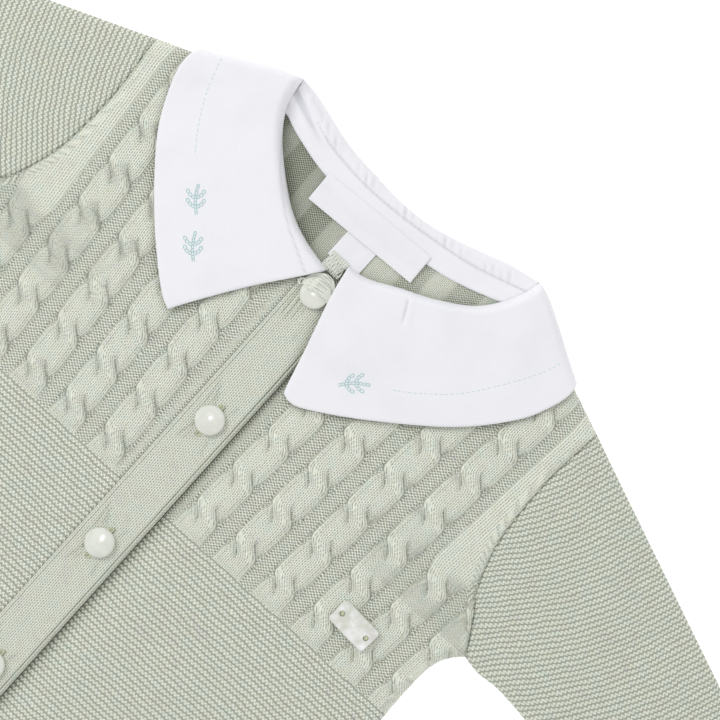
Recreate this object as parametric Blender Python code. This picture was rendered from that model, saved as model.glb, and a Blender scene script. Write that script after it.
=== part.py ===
"""Baby jumpsuit with a cable-knit yoke, laid flat with its front up.

The garment lies on the plane z = 0 with its neck towards +Y. The tables are in millimetres and
are measured from the top of the centre front: x to the viewer's right, y towards the neck.
Left and right are the viewer's. A table of the right half serves both halves of a symmetrical
outline. Each piece of cloth is a closed wall, 0.3 mm clear of its neighbours at the seams.
"""

import math

import bmesh
import bpy

MM = 0.001
GAP = 0.3                       # between pieces that touch or are sewn together

# Thicknesses
KNIT = 1.8
WOVEN = 1.0
LABEL = 0.4

# The flattened body: cloth folded over at the sides, with a hollow between its two layers
FOLD_RADIUS = 3.0
BACK_SEAM_Z = FOLD_RADIUS
FRONT_SEAM_Z = BACK_SEAM_Z + GAP
FRONT_TOP_Z = FRONT_SEAM_Z + FOLD_RADIUS
FOLD_INSETS = (0.0, 0.4, 1.5, 3.0)       # rows of points round a fold, in from its edge

# Body
BAND_HALF_WIDTH = 8.7
FRONT_EDGE = BAND_HALF_WIDTH + GAP
DIP_WIDTH = 13.0                # the strip of the right front that goes down below the band
YOKE_END = -84.0
CROTCH = -300.0
FRONT_CROTCH = -302.6           # where the inseam reaches the edge of a front
CROTCH_ROWS = (FRONT_CROTCH, -306.5, -316.0)     # rows of points round the top of the legs
HEM = -452.0
BODY_ROW = 13.5                 # distance between rows of points in the plain knit
UNDERARM = (109.0, -54.2)
SHOULDER_NECK = (52.0, 41.5)
SHOULDER_TIP = (93.0, 25.5)

# Sleeve
SLEEVE_LENGTH = 160.0
SLEEVE_SLOPE = math.radians(22.0)
CUFF_WIDTH = 58.0
SLEEVE_RINGS = 9
SLEEVE_COLUMNS = 12
SLEEVE_SHARES = (0.05, 0.95)    # of a ring's length, between its two folds
ARMHOLE_SLANT = 1.25            # of the armhole to the sleeve's rings, widens the gap to match

# Cables of the yoke
CABLES = 6
CABLE_HALF_WIDTH = 5.3
FIRST_CABLE = 18.0
CABLE_PITCH = 16.4
CROSSING_TOP = -12.0
CROSSING_PITCH = 15.7
ROWS_PER_CROSSING = 4
CABLE_BULGE = 1.0
CABLE_CROSSING = 1.5
CABLE_WIDENING = 0.1            # share a cable is wider by at the neck than at the yoke's end
CROSSING_LENGTH = 0.34          # half a crossing, as a share of the distance between crossings
STRAND_SLOPE_LENGTH = 0.25      # half the length in which the front strand changes side
STRAND_PATH = 0.55              # how far the front strand goes to each side
STRAND_WIDTH = 0.42
BACK_STRAND = 0.45              # height of the strand behind, as a share of the bulge
FAN_START = -80.0               # the columns of cables spread a little above this height
FAN_SHIFT = 2.5
FAN_SPREAD = 0.095
FAN_LIMIT = 1.25
CABLE_COLUMNS = (-1.0, -0.6, -0.2, 0.2, 0.6, 1.0)

# Collar
COLLAR_Z = FRONT_TOP_Z + CABLE_CROSSING + GAP + WOVEN
COLLAR_FOLD = 3.0
COLLAR_RIM_Z = 4.75             # where the rolled edges of the collar fronts end
BACK_COLLAR_RIM_Z = COLLAR_RIM_Z - GAP
NECK_FOLD_RIM_Z = 2.05          # where the collar's back meets the stand in the neck fold
NECK_FOLD_HALF = 46.3
CREST_START = 51.0
LIFT = WOVEN + GAP              # the back lies on the collar's back by this much
LIFT_CENTRE_Y = 34.0
LIFT_RADII = (88.0, 42.0)
LIFT_EASE = 0.25
STAND_Z = KNIT + LIFT + GAP

# Buttons and trimmings
BUTTON_RADIUS = 4.85
NECK_BUTTON = (-2.3, -1.2, 4.7)
FIRST_BUTTON_Y = -52.35
BUTTON_SPACING = 51.5
BUTTONS = 5
LOOP_RADIUS = 0.6
TAB_SIZE = (15.0, 8.4, 1.6)
TAB_CENTRE = (76.1, -69.8)
TAB_TURN = math.radians(-4.6)
TAB_HOLE_SPACING = 10.6
TAB_HOLE_RADIUS = 0.85
LABEL_SIZE = (41.6, 10.4)
LABEL_CENTRE = (-3.5, 26.0)
LABEL_TURN = math.radians(2.3)
SIZE_TAB = {"left": -8.0, "right": 3.6, "top": 22.4, "bottom": 11.2}
LABEL_RAISED_Z = STAND_Z + WOVEN + GAP
LABEL_LOW_Z = STAND_Z + LABEL + GAP

# Outlines: rows of (x, y)
ARMHOLE = (
    SHOULDER_TIP,
    (92.0, 18.7),
    (91.0, 5.9),
    (91.3, -10.0),
    (92.9, -22.6),
    (97.3, -35.3),
    (102.5, -43.8),
    UNDERARM,
)
SLEEVE_UNDERSIDE = (
    (160.0, -63.0),
    (140.0, -57.2),
    (124.4, -55.0),
    (115.4, -55.4),
    UNDERARM,
)
SIDE = (
    UNDERARM,
    (105.8, -57.7),
    (103.6, -62.0),
    (102.5, -70.0),
    (102.8, -90.0),
    (105.0, -130.0),
    (113.0, -215.0),
    (117.0, -290.0),
    (114.0, -350.0),
    (103.0, HEM),
)
INSEAM = (
    (0.0, CROTCH),
    (5.0, -300.8),
    (FRONT_EDGE, FRONT_CROTCH),
    (12.5, -306.5),
    (16.5, -316.0),
    (22.0, -340.0),
    (29.0, -390.0),
    (36.0, HEM),
)
FRONT_NECK = (
    (FRONT_EDGE, 3.5),
    (16.0, 5.5),
    (25.0, 9.8),
    (34.0, 16.0),
    (43.0, 25.0),
    (49.5, 34.5),
    SHOULDER_NECK,
)
BACK_NECK = (
    (0.0, 31.5),
    (20.0, 33.0),
    (38.0, 37.0),
    (47.0, 40.0),
    SHOULDER_NECK,
)
NECK_FOLD = (
    (-50.3, 46.9),
    (-43.3, 46.1),
    (-26.3, 41.4),
    (-13.8, 39.9),
    (-0.9, 38.9),
    (11.2, 39.8),
    (23.8, 43.0),
    (36.5, 47.0),
    (47.8, 49.2),
)
STAND_SEAM = (
    (-46.3, 35.0),
    (-39.2, 32.3),
    (-24.9, 29.0),
    (0.0, 27.5),
    (17.2, 29.4),
    (29.4, 31.8),
    (46.3, 37.4),
)
COLLAR_BACK_EDGE = (
    (-80.0, 32.6),
    (-74.0, 14.0),
    (-58.0, 3.0),
    (-30.0, -3.0),
    (0.0, -4.5),
    (30.0, -3.0),
    (56.0, 3.0),
    (71.0, 14.0),
    (77.3, 33.4),
)

# The two collar fronts: the neck edge and the outer edge run from the front to the shoulder,
# the front edge and the shoulder crest run from the neck outwards
COLLAR_FRONTS = {
    "collar_right": {
        "neck": (
            (-0.2, 10.4),
            (6.6, 12.7),
            (16.2, 18.4),
            (25.8, 22.6),
            (35.5, 28.4),
            (41.3, 34.3),
            (45.7, 42.0),
            (47.8, 49.2),
        ),
        "crest": (
            (47.8, 49.2),
            (53.0, 47.4),
            (60.0, 43.6),
            (69.0, 38.2),
            (77.3, 33.4),
        ),
        "outer": (
            (11.3, -30.6),
            (14.5, -31.4),
            (20.0, -29.5),
            (36.2, -19.4),
            (57.3, -3.3),
            (70.6, 11.6),
            (75.9, 21.6),
            (77.8, 28.5),
            (77.3, 33.4),
        ),
        "front": (
            (-0.2, 10.4),
            (1.3, 3.9),
            (3.0, -2.2),
            (6.7, -14.8),
            (10.2, -27.5),
            (11.3, -30.6),
        ),
    },
    "collar_left": {
        "neck": (
            (-4.6, 7.2),
            (-15.5, 9.6),
            (-24.7, 13.5),
            (-33.8, 20.2),
            (-42.7, 28.6),
            (-48.2, 37.0),
            (-50.3, 46.9),
        ),
        "crest": (
            (-50.3, 46.9),
            (-54.0, 45.6),
            (-59.5, 43.4),
            (-72.0, 36.8),
            (-80.0, 32.6),
        ),
        "outer": (
            (-33.2, -35.2),
            (-37.0, -33.4),
            (-44.1, -27.7),
            (-54.5, -17.8),
            (-66.3, -4.6),
            (-74.3, 6.7),
            (-80.0, 19.5),
            (-81.3, 27.0),
            (-80.0, 32.6),
        ),
        "front": (
            (-4.6, 7.2),
            (-8.1, 1.7),
            (-19.9, -14.2),
            (-29.2, -28.5),
            (-33.2, -35.2),
        ),
    },
}
COLLAR_ALONG = (0.0, 0.03, 0.12, 0.24, 0.36, 0.48, 0.6, 0.72, 0.82, 0.9, 0.955, 0.98, 0.993, 1.0)
COLLAR_ACROSS = (0.0, 0.008, 0.03, 0.075, 0.22, 0.4, 0.6, 0.8, 1.0)

# Soft folds of the upper layer: ridge from (x0, y0) to (x1, y1), its half width and height
FOLD_COLUMNS = ("x0", "y0", "x1", "y1", "half_width", "height")
SOFT_FOLDS = (
    (108.0, -47.0, 97.0, -72.0, 5.0, 0.7),
    (-108.0, -47.0, -95.0, -66.0, 6.0, 0.6),
    (112.0, -40.0, 150.0, -48.0, 7.0, 0.8),
    (-113.0, -38.0, -146.0, -50.0, 8.0, 0.7),
    (150.0, -8.0, 196.0, -52.0, 9.0, 0.8),
    (-158.0, -12.0, -190.0, -55.0, 8.0, 0.9),
    (30.0, -128.0, 96.0, -104.0, 10.0, 0.8),
    (-96.0, -112.0, -28.0, -140.0, 9.0, 0.7),
    (22.0, -196.0, 88.0, -222.0, 12.0, 0.9),
    (-90.0, -205.0, -30.0, -184.0, 11.0, 0.8),
    (30.0, -268.0, 100.0, -250.0, 10.0, 0.7),
    (-104.0, -272.0, -26.0, -282.0, 12.0, 0.8),
    (36.0, -336.0, 100.0, -350.0, 9.0, 0.9),
    (-98.0, -332.0, -34.0, -346.0, 8.0, 0.8),
    (46.0, -402.0, 96.0, -388.0, 9.0, 0.7),
    (-92.0, -404.0, -44.0, -396.0, 10.0, 0.8),
)

# Half section of a button from its rim at the cloth to its top: share of the radius, height
BUTTON_PROFILE = ((0.82, 0.0), (0.97, 0.45), (1.0, 0.95), (0.92, 1.6), (0.66, 2.15), (0.34, 2.4))
BUTTON_TOP = 2.5
BUTTON_SIDES = 20

# The loop's route, from under one collar front round the button to under the other
LOOP_ROUTE = (
    (-8.6, -2.6),
    (-8.3, 1.2),
    (-6.4, 3.9),
    (-3.0, 5.2),
    (0.4, 4.6),
    (2.6, 2.9),
    (4.6, 0.4),
)

KNIT_COLOUR = (0.50, 0.53, 0.42, 1.0)
WOVEN_COLOUR = (0.85, 0.85, 0.89, 1.0)
PEARL_COLOUR = (0.80, 0.80, 0.74, 1.0)
YARN_COLOUR = (0.70, 0.72, 0.62, 1.0)

BBOX_TOP = 49.2                 # the highest y of the neck fold
CENTRE_Y = (BBOX_TOP + HEM) / 2


# ---------------------------------------------------------------- curves and outlines

def smooth(rows, pieces=5):
    """Round curve through the rows of a table, with some points between each two."""
    points = [rows[0]]
    for index in range(len(rows) - 1):
        a = rows[max(index - 1, 0)]
        b = rows[index]
        c = rows[index + 1]
        d = rows[min(index + 2, len(rows) - 1)]
        for step in range(1, pieces + 1):
            t = step / pieces
            points.append(tuple(
                b[k] + 0.5 * t * (c[k] - a[k] + t * (2 * a[k] - 5 * b[k] + 4 * c[k] - d[k]
                                                     + t * (3 * (b[k] - c[k]) + d[k] - a[k])))
                for k in (0, 1)))
    return points


def lengths(points):
    """Running length at each point of a curve."""
    run = [0.0]
    for a, b in zip(points, points[1:]):
        run.append(run[-1] + math.dist(a, b))
    return run


def along(points, share):
    """Point at a share of a curve's length."""
    run = lengths(points)
    target = share * run[-1]
    for index in range(len(points) - 1):
        if target <= run[index + 1] or index == len(points) - 2:
            a, b = points[index], points[index + 1]
            t = (target - run[index]) / (run[index + 1] - run[index])
            return tuple(a[k] + t * (b[k] - a[k]) for k in (0, 1))


def at(points, value, given, wanted):
    """The wanted coordinate of a curve where its given one has a value."""
    for a, b in zip(points, points[1:]):
        low, high = sorted((a[given], b[given]))
        if low <= value <= high and high > low:
            t = (value - a[given]) / (b[given] - a[given])
            return a[wanted] + t * (b[wanted] - a[wanted])
    nearest = min(points, key=lambda point: abs(point[given] - value))
    return nearest[wanted]


def ease(t):
    """0 to 1, soft at both ends."""
    t = min(max(t, 0.0), 1.0)
    return t * t * (3 - 2 * t)


def nearest(points, x, y):
    """Distance from (x, y) to a curve, and the direction away from it, to its right."""
    best = None
    for a, b in zip(points, points[1:]):
        dx, dy = b[0] - a[0], b[1] - a[1]
        length = math.hypot(dx, dy)
        t = min(max(((x - a[0]) * dx + (y - a[1]) * dy) / length ** 2, 0.0), 1.0)
        ox, oy = x - a[0] - t * dx, y - a[1] - t * dy
        distance = math.hypot(ox, oy)
        if best is None or distance < best[0] - 1e-9:
            away = (dy / length, -dx / length)
            if distance > 1e-3:
                away = (ox / distance, oy / distance)
            best = (distance, away)
    return best


SLEEVE_DIRECTION = (math.cos(SLEEVE_SLOPE), -math.sin(SLEEVE_SLOPE))
CUFF_TOP = tuple(SHOULDER_TIP[k] + SLEEVE_LENGTH * SLEEVE_DIRECTION[k] for k in (0, 1))
CUFF_BOTTOM = (CUFF_TOP[0] + CUFF_WIDTH * SLEEVE_DIRECTION[1],
               CUFF_TOP[1] - CUFF_WIDTH * SLEEVE_DIRECTION[0])

ARMHOLE_CURVE = smooth(ARMHOLE)
SLEEVE_TOP_CURVE = smooth((SHOULDER_TIP, CUFF_TOP))
SLEEVE_LOWER_CURVE = smooth((CUFF_BOTTOM,) + SLEEVE_UNDERSIDE)
SIDE_CURVE = smooth(SIDE)
INSEAM_CURVE = smooth(INSEAM)
SHOULDER_CURVE = [SHOULDER_NECK, SHOULDER_TIP]
# Folds of the right half, each with the cloth on the right of its direction
FOLDS = (
    SHOULDER_CURVE + SLEEVE_TOP_CURVE[1:],
    SLEEVE_LOWER_CURVE + SIDE_CURVE[1:],
    INSEAM_CURVE[::-1],
)


def outer_x(y):
    """The body's outer edge: the armhole, then the side and the leg."""
    curve = ARMHOLE_CURVE if y >= UNDERARM[1] else SIDE_CURVE
    return at(curve, y, 1, 0)


def inner_x(y, centre, centre_end):
    """The body's inner edge: the centre line or the band, then the inseam."""
    return centre if y >= centre_end else at(INSEAM_CURVE, y, 1, 0)


# ---------------------------------------------------------------- the lie of the cloth

def lift(x, y):
    """How far the garment is raised by the collar's back, which lies below it."""
    reach = math.hypot(x / LIFT_RADII[0], (y - LIFT_CENTRE_Y) / LIFT_RADII[1])
    return LIFT * (1 - ease((reach - 1) / LIFT_EASE))


def soft_fold(x, y):
    """Height of the soft folds of the upper layer."""
    height = 0.0
    for row in SOFT_FOLDS:
        fold = dict(zip(FOLD_COLUMNS, row))
        dx, dy = fold["x1"] - fold["x0"], fold["y1"] - fold["y0"]
        length = math.hypot(dx, dy)
        t = ((x - fold["x0"]) * dx + (y - fold["y0"]) * dy) / length ** 2
        off = ((x - fold["x0"]) * dy - (y - fold["y0"]) * dx) / length / fold["half_width"]
        ends = ease(2.2 * (1 - abs(2 * t - 1)))
        height = max(height, fold["height"] * ends * math.exp(-off * off))
    return height


def fold_shape(x, y):
    """Share of flatness at (x, y), 0 on a fold's edge, and the direction in from it."""
    side = math.copysign(1.0, x) if x else 0.0
    distance, away = min(nearest(curve, abs(x), y) for curve in FOLDS)
    reach = min(distance / FOLD_RADIUS, 1.0)
    return reach, (side * away[0], away[1])


def body_point(x, y, upper, depth=0.0, raised=0.0):
    """Point of the upper or lower layer, a depth inside its outer face."""
    reach, away = fold_shape(x, y)
    across = 1 - reach
    rise = math.sqrt(1 - across * across)
    height = (FOLD_RADIUS - depth) * rise
    if upper:
        z = FRONT_SEAM_Z + height + (raised + soft_fold(x, y)) * reach
    else:
        z = BACK_SEAM_Z - height
    return (x + away[0] * across * depth, y + away[1] * across * depth, z + lift(x, y))


# ---------------------------------------------------------------- cables

def fan(x0, y):
    """Where a column that starts at x0 below the yoke has moved to at height y."""
    rise = min(max((y - FAN_START) / -FAN_START, 0.0), FAN_LIMIT)
    return x0 + (FAN_SHIFT + FAN_SPREAD * x0) * rise


def cable_centre(cable, y):
    return fan(FIRST_CABLE + CABLE_PITCH * cable, y)


def strand_height(across, phase):
    """Height over a cable: across is -1 to 1, phase is 0 at a crossing and 0.5 between."""
    plain = CABLE_BULGE * math.sqrt(max(1 - across * across, 0.0))
    crossing = ease(1 - abs(phase) / CROSSING_LENGTH)
    path = STRAND_PATH * min(max(phase / STRAND_SLOPE_LENGTH, -1.0), 1.0)
    strand = CABLE_CROSSING * math.exp(-((across - path) / STRAND_WIDTH) ** 2)
    behind = BACK_STRAND * plain
    return (1 - crossing) * (plain - crossing * behind) + crossing * max(strand, behind)


def cable_relief(x, y):
    """How far the knit is raised at (x, y) of the yoke."""
    if y <= YOKE_END + 0.5:
        return 0.0
    rows = (CROSSING_TOP - y) / CROSSING_PITCH
    phase = rows - round(rows)
    for cable in range(CABLES):
        half = CABLE_HALF_WIDTH * (1 + CABLE_WIDENING * (y - YOKE_END) / -YOKE_END)
        across = (x - math.copysign(cable_centre(cable, y), x)) / half
        if abs(across) < 1:
            return strand_height(across, phase)
    return 0.0


# ---------------------------------------------------------------- walls

class Wall:
    """Points and faces of one closed piece, gathered strip by strip."""

    def __init__(self):
        self.points = []
        self.faces = []

    def add(self, point):
        self.points.append(point)
        return len(self.points) - 1

    def strip(self, row_a, row_b):
        """Triangles between two rows of (key, point number), walked by their keys."""
        i = j = 0
        while i < len(row_a) - 1 or j < len(row_b) - 1:
            a_left = i < len(row_a) - 1
            b_left = j < len(row_b) - 1
            if a_left and (not b_left or row_a[i + 1][0] <= row_b[j + 1][0]):
                self.faces.append((row_a[i][1], row_a[i + 1][1], row_b[j][1]))
                i += 1
            else:
                self.faces.append((row_a[i][1], row_b[j + 1][1], row_b[j][1]))
                j += 1

    def strips(self, rows):
        for row_a, row_b in zip(rows, rows[1:]):
            self.strip(row_a, row_b)

    def grid(self, rows):
        """Quads between rows with as many points each, given as point numbers."""
        for row_a, row_b in zip(rows, rows[1:]):
            for k in range(len(row_a) - 1):
                self.faces.append((row_a[k], row_a[k + 1], row_b[k + 1], row_b[k]))

    def close_grids(self, top, bottom):
        """A slab from two grids of the same form: both faces and the edge round them."""
        self.grid(top)
        self.grid(bottom)
        for first, second in ((top[0], bottom[0]), (top[-1], bottom[-1]),
                              ([row[0] for row in top], [row[0] for row in bottom]),
                              ([row[-1] for row in top], [row[-1] for row in bottom])):
            self.grid((first, second))

    def make(self, name, material, mirrored=False, smooth_angle=50):
        """The Blender object, in metres and about the part's own origin."""
        mesh = bpy.data.meshes.new(name)
        moved = [(x * MM, (y - CENTRE_Y) * MM, z * MM) for x, y, z in self.points]
        mesh.from_pydata(moved, [], self.faces)
        work = bmesh.new()
        work.from_mesh(mesh)
        if mirrored:
            copy = bmesh.ops.duplicate(work, geom=work.verts[:] + work.edges[:] + work.faces[:])
            for item in copy["geom"]:
                if isinstance(item, bmesh.types.BMVert):
                    item.co.x = -item.co.x
            on_centre = [vert for vert in work.verts if abs(vert.co.x) < 1e-7]
            bmesh.ops.remove_doubles(work, verts=on_centre, dist=1e-6)
        bmesh.ops.recalc_face_normals(work, faces=work.faces)
        if work.calc_volume(signed=True) < 0:
            bmesh.ops.reverse_faces(work, faces=work.faces)
        work.to_mesh(mesh)
        work.free()
        mesh.shade_smooth()
        mesh.set_sharp_from_angle(angle=math.radians(smooth_angle))
        mesh.materials.append(material)
        piece = bpy.data.objects.new(name, mesh)
        bpy.context.scene.collection.objects.link(piece)
        return piece


def row_heights(start, end, pitch):
    """Evenly spaced heights from start down to end."""
    count = max(round((start - end) / pitch), 1)
    return [start + (end - start) * k / count for k in range(count + 1)]


def crossing_rows():
    """Heights of the yoke's rows, in step with the cable crossings and with the underarm."""
    pitch = CROSSING_PITCH / ROWS_PER_CROSSING
    first = math.floor((CROSSING_TOP - SHOULDER_NECK[1]) / pitch)
    heights = []
    y = CROSSING_TOP - first * pitch
    while y > YOKE_END + pitch / 2:
        heights.append(UNDERARM[1] if abs(y - UNDERARM[1]) < 0.4 * pitch else y)
        y -= pitch
    return heights + [YOKE_END]


def plain_rows():
    """Heights of a plain yoke layer's rows: every second one, and the underarm."""
    heights = [y for y in crossing_rows()[::2] if y > YOKE_END + 6] + [YOKE_END]
    if UNDERARM[1] not in heights:
        heights = sorted(heights + [UNDERARM[1]], reverse=True)
    return heights


def outer_part(start, inner_shares):
    """Columns between a column that starts at `start` and the body's outer edge."""
    def column(share):
        def x_at(y):
            left = fan(start, y)
            room = outer_x(y) - left
            fold = min(FOLD_INSETS[-1], 0.4 * room)
            return left + (room - fold) * share
        return x_at

    def folded(inset):
        def x_at(y):
            room = outer_x(y) - fan(start, y)
            fold = min(FOLD_INSETS[-1], 0.4 * room)
            return outer_x(y) - fold * inset / FOLD_INSETS[-1]
        return x_at

    return [column(share) for share in inner_shares] + [folded(d) for d in FOLD_INSETS[::-1]]


def front_columns():
    """Columns of the front yoke: its edge, five points or more a cable, and the outer part."""
    columns = [lambda y: FRONT_EDGE]
    for cable in range(CABLES - 2):
        for across in CABLE_COLUMNS:
            x0 = FIRST_CABLE + CABLE_PITCH * cable + CABLE_HALF_WIDTH * across
            columns.append(lambda y, x0=x0: fan(x0, y))
    start = FIRST_CABLE + CABLE_PITCH * (CABLES - 2) - CABLE_HALF_WIDTH
    return columns + outer_part(start, (0.0, 0.11, 0.22, 0.33, 0.44, 0.6, 0.72, 0.86))


def plain_columns(centre, count):
    """Evenly spread columns of a plain yoke layer."""
    last = FIRST_CABLE + CABLE_PITCH * (CABLES - 2) - CABLE_HALF_WIDTH
    columns = [lambda y: centre]
    for k in range(1, count):
        x0 = centre + (last - centre) * k / count
        columns.append(lambda y, x0=x0: fan(x0, y))
    return columns + outer_part(last, (0.0, 0.5))


def yoke_column(x_at, heights, top_curve):
    """Heights and keys of one column, from the neck or the shoulder fold downwards."""
    y_top = heights[0]
    for _ in range(30):
        y_top = at(top_curve, x_at(y_top), 0, 1)
    steps = [(0, y_top)]
    if x_at(y_top) > SHOULDER_NECK[0] + 0.1:
        slope = (SHOULDER_TIP[1] - SHOULDER_NECK[1]) / (SHOULDER_TIP[0] - SHOULDER_NECK[0])
        stretch = math.hypot(1, slope)
        steps += [(key, y_top - inset * stretch) for key, inset in enumerate(FOLD_INSETS) if key]
    low = steps[-1][1] - 1.0
    steps += [(10 + key, y) for key, y in enumerate(heights) if y < low]
    return steps


def body_rows(centre, centre_end, middle):
    """Rows of the plain body and leg below the yoke, as lists of (x, y)."""
    heights = row_heights(YOKE_END, CROTCH, BODY_ROW)[1:] + list(CROTCH_ROWS)
    heights += row_heights(CROTCH_ROWS[-1], HEM, BODY_ROW)[1:]
    rows = []
    for y in heights:
        left = inner_x(y, centre, centre_end)
        right = outer_x(y)
        shares = [k / (middle + 1) for k in range(middle + 2)]
        inset = FOLD_INSETS[-1]
        xs = [left + d for d in FOLD_INSETS[:-1]]
        xs += [left + inset + (right - left - 2 * inset) * share for share in shares]
        xs += [right - d for d in FOLD_INSETS[-2::-1]]
        rows.append([(x, y) for x in xs])
    return rows


def half_layer(wall, side, columns, heights, top_curve, rows, place):
    """One face of a body half. Gives its edges: top, centre, outer side and hem."""
    column_rows = []
    for x_at in columns:
        column = []
        for key, y in yoke_column(x_at, heights, top_curve):
            point = place(side * x_at(y), y)
            column.append((key, wall.add(point), x_at(y), y))
        column_rows.append(column)
    wall.strips([[(item[0], item[1]) for item in column] for column in column_rows])
    bottoms = [(column[-1][2], column[-1][1]) for column in column_rows]
    low, high = bottoms[0][0], bottoms[-1][0]
    keyed = [[((x - low) / (high - low), number) for x, number in bottoms]]
    ends = []
    for row in rows:
        numbers = [wall.add(place(side * x, y)) for x, y in row]
        left, right = row[0][0], row[-1][0]
        keyed.append([((x - left) / (right - left), n) for (x, y), n in zip(row, numbers)])
        ends.append(((-row[0][1], numbers[0]), (-row[-1][1], numbers[-1])))
    wall.strips(keyed)
    return {
        "top": [(column[0][2], column[0][1]) for column in column_rows],
        "centre": [(-item[3], item[1]) for item in column_rows[0]] + [end[0] for end in ends],
        "outer": [(-item[3], item[1]) for item in column_rows[-1]] + [end[1] for end in ends],
        "hem": [(x, n) for (x, y), (key, n) in zip(rows[-1], keyed[-1])],
    }


def build_front(name, side, material, dips):
    """A front: cabled yoke, plain body and leg, inside face plain."""
    def edge_dip(x, y):
        reach = fold_shape(x, y)[0]
        return dips * (1 - ease((abs(x) - FRONT_EDGE) / DIP_WIDTH)) * reach

    def outside(x, y):
        px, py, pz = body_point(x, y, True, 0.0, cable_relief(x, y))
        return (px, py, pz - edge_dip(x, y))

    def inside(x, y):
        px, py, pz = body_point(x, y, True, KNIT)
        return (px, py, pz - edge_dip(x, y))

    wall = Wall()
    top_curve = smooth(FRONT_NECK) + SHOULDER_CURVE[1:]
    face = half_layer(wall, side, front_columns(), crossing_rows(), top_curve,
                      body_rows(FRONT_EDGE, FRONT_CROTCH, 5), outside)
    lining = half_layer(wall, side, plain_columns(FRONT_EDGE, 5), plain_rows(), top_curve,
                        body_rows(FRONT_EDGE, FRONT_CROTCH, 3), inside)
    for edge in ("top", "centre", "outer", "hem"):
        wall.strip(face[edge], lining[edge])
    return wall.make(name, material)


def build_back(material):
    """The back: both halves joined along the centre, legs parted below the crotch."""
    wall = Wall()
    top_curve = smooth(BACK_NECK) + SHOULDER_CURVE[1:]
    edges = []
    for depth in (0.0, KNIT):
        edges.append(half_layer(wall, 1, plain_columns(0.0, 6), plain_rows(), top_curve,
                                body_rows(0.0, CROTCH, 5),
                                lambda x, y, depth=depth: body_point(x, y, False, depth)))
    face, lining = edges
    for edge in ("top", "outer", "hem"):
        wall.strip(face[edge], lining[edge])
    below = [[item for item in half["centre"] if item[0] >= -CROTCH - 0.01] for half in edges]
    wall.strip(*below)
    return wall.make("back", material, mirrored=True)


# ---------------------------------------------------------------- sleeves

def sleeve_plan(ring, share):
    """Plan position: ring 0 is the armhole, 1 the cuff; share 0 is the top fold."""
    armhole = along(ARMHOLE_CURVE, share)
    cuff = tuple(CUFF_TOP[k] + share * (CUFF_BOTTOM[k] - CUFF_TOP[k]) for k in (0, 1))
    top = along(SLEEVE_TOP_CURVE, ring)
    under = along(SLEEVE_LOWER_CURVE, 1 - ring)
    point = []
    for k in (0, 1):
        between_ends = (1 - ring) * armhole[k] + ring * cuff[k]
        between_folds = (1 - share) * top[k] + share * under[k]
        corners = ((1 - ring) * ((1 - share) * SHOULDER_TIP[k] + share * UNDERARM[k])
                   + ring * ((1 - share) * CUFF_TOP[k] + share * CUFF_BOTTOM[k]))
        point.append(between_ends + between_folds - corners)
    return point


def build_sleeve(name, side, material):
    """A flattened tube from the armhole to the open cuff."""
    wall = Wall()
    width = math.dist(SHOULDER_TIP, UNDERARM)
    shares = [inset / width for inset in FOLD_INSETS[:-1]]
    low, high = SLEEVE_SHARES
    shares += [low + (high - low) * k / SLEEVE_COLUMNS for k in range(SLEEVE_COLUMNS + 1)]
    shares += [1 - inset / width for inset in FOLD_INSETS[-2::-1]]
    start = ARMHOLE_SLANT * GAP / SLEEVE_LENGTH
    rings = [start + (1 - start) * k / SLEEVE_RINGS for k in range(SLEEVE_RINGS + 1)]
    loops = {}
    for depth in (0.0, KNIT):
        loops[depth] = []
        for ring in rings:
            plan = [sleeve_plan(ring, share) for share in shares]
            upper = [wall.add(body_point(side * x, y, True, depth)) for x, y in plan]
            lower = [wall.add(body_point(side * x, y, False, depth)) for x, y in plan[::-1]]
            loops[depth].append(upper + lower + upper[:1])
    wall.grid(loops[0.0])
    wall.grid(loops[KNIT])
    wall.grid((loops[0.0][0], loops[KNIT][0]))
    wall.grid((loops[0.0][-1], loops[KNIT][-1]))
    return wall.make(name, material)


# ---------------------------------------------------------------- bands

def build_band(name, material, xs, y_range, top_at):
    """A plain band along the centre front, as thick as the knit."""
    wall = Wall()
    heights = row_heights(y_range[0], y_range[1], BODY_ROW)
    top = [[wall.add((x, y, top_at(x, y))) for x in xs] for y in heights]
    bottom = [[wall.add((x, y, top_at(0.0, y) - KNIT)) for x in xs] for y in heights]
    wall.close_grids(top, bottom)
    return wall.make(name, material)


def button_band_top(x, y):
    """Height of the button band's face, its free edges a little rounded."""
    edge = max(abs(x) - (BAND_HALF_WIDTH - 0.7), 0.0)
    return FRONT_TOP_Z + lift(0.0, y) - 0.5 * edge


def under_band_top(x, y):
    return FRONT_TOP_Z - KNIT - GAP + lift(0.0, y)


# ---------------------------------------------------------------- collar

def patch(edges, u, v):
    """Point between four edges; u runs along the neck, v from the neck to the outer edge."""
    neck, outer = along(edges["neck"], u), along(edges["outer"], u)
    front, crest = along(edges["front"], v), along(edges["crest"], v)
    point = []
    for k in (0, 1):
        corners = ((1 - u) * ((1 - v) * edges["neck"][0][k] + v * edges["outer"][0][k])
                   + u * ((1 - v) * edges["neck"][-1][k] + v * edges["outer"][-1][k]))
        point.append((1 - v) * neck[k] + v * outer[k] + (1 - u) * front[k] + u * crest[k]
                     - corners)
    return point


def rolled(curves, x, y, radius):
    """Share of height at (x, y) beside rolled edges, and how far the inside is moved in."""
    share = 1.0
    shift = [0.0, 0.0]
    for curve in curves:
        distance, away = nearest(curve, x, y)
        across = 1 - min(distance / radius, 1.0)
        share *= math.sqrt(1 - across * across)
        shift = [shift[k] + away[k] * across for k in (0, 1)]
    return share, shift


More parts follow.
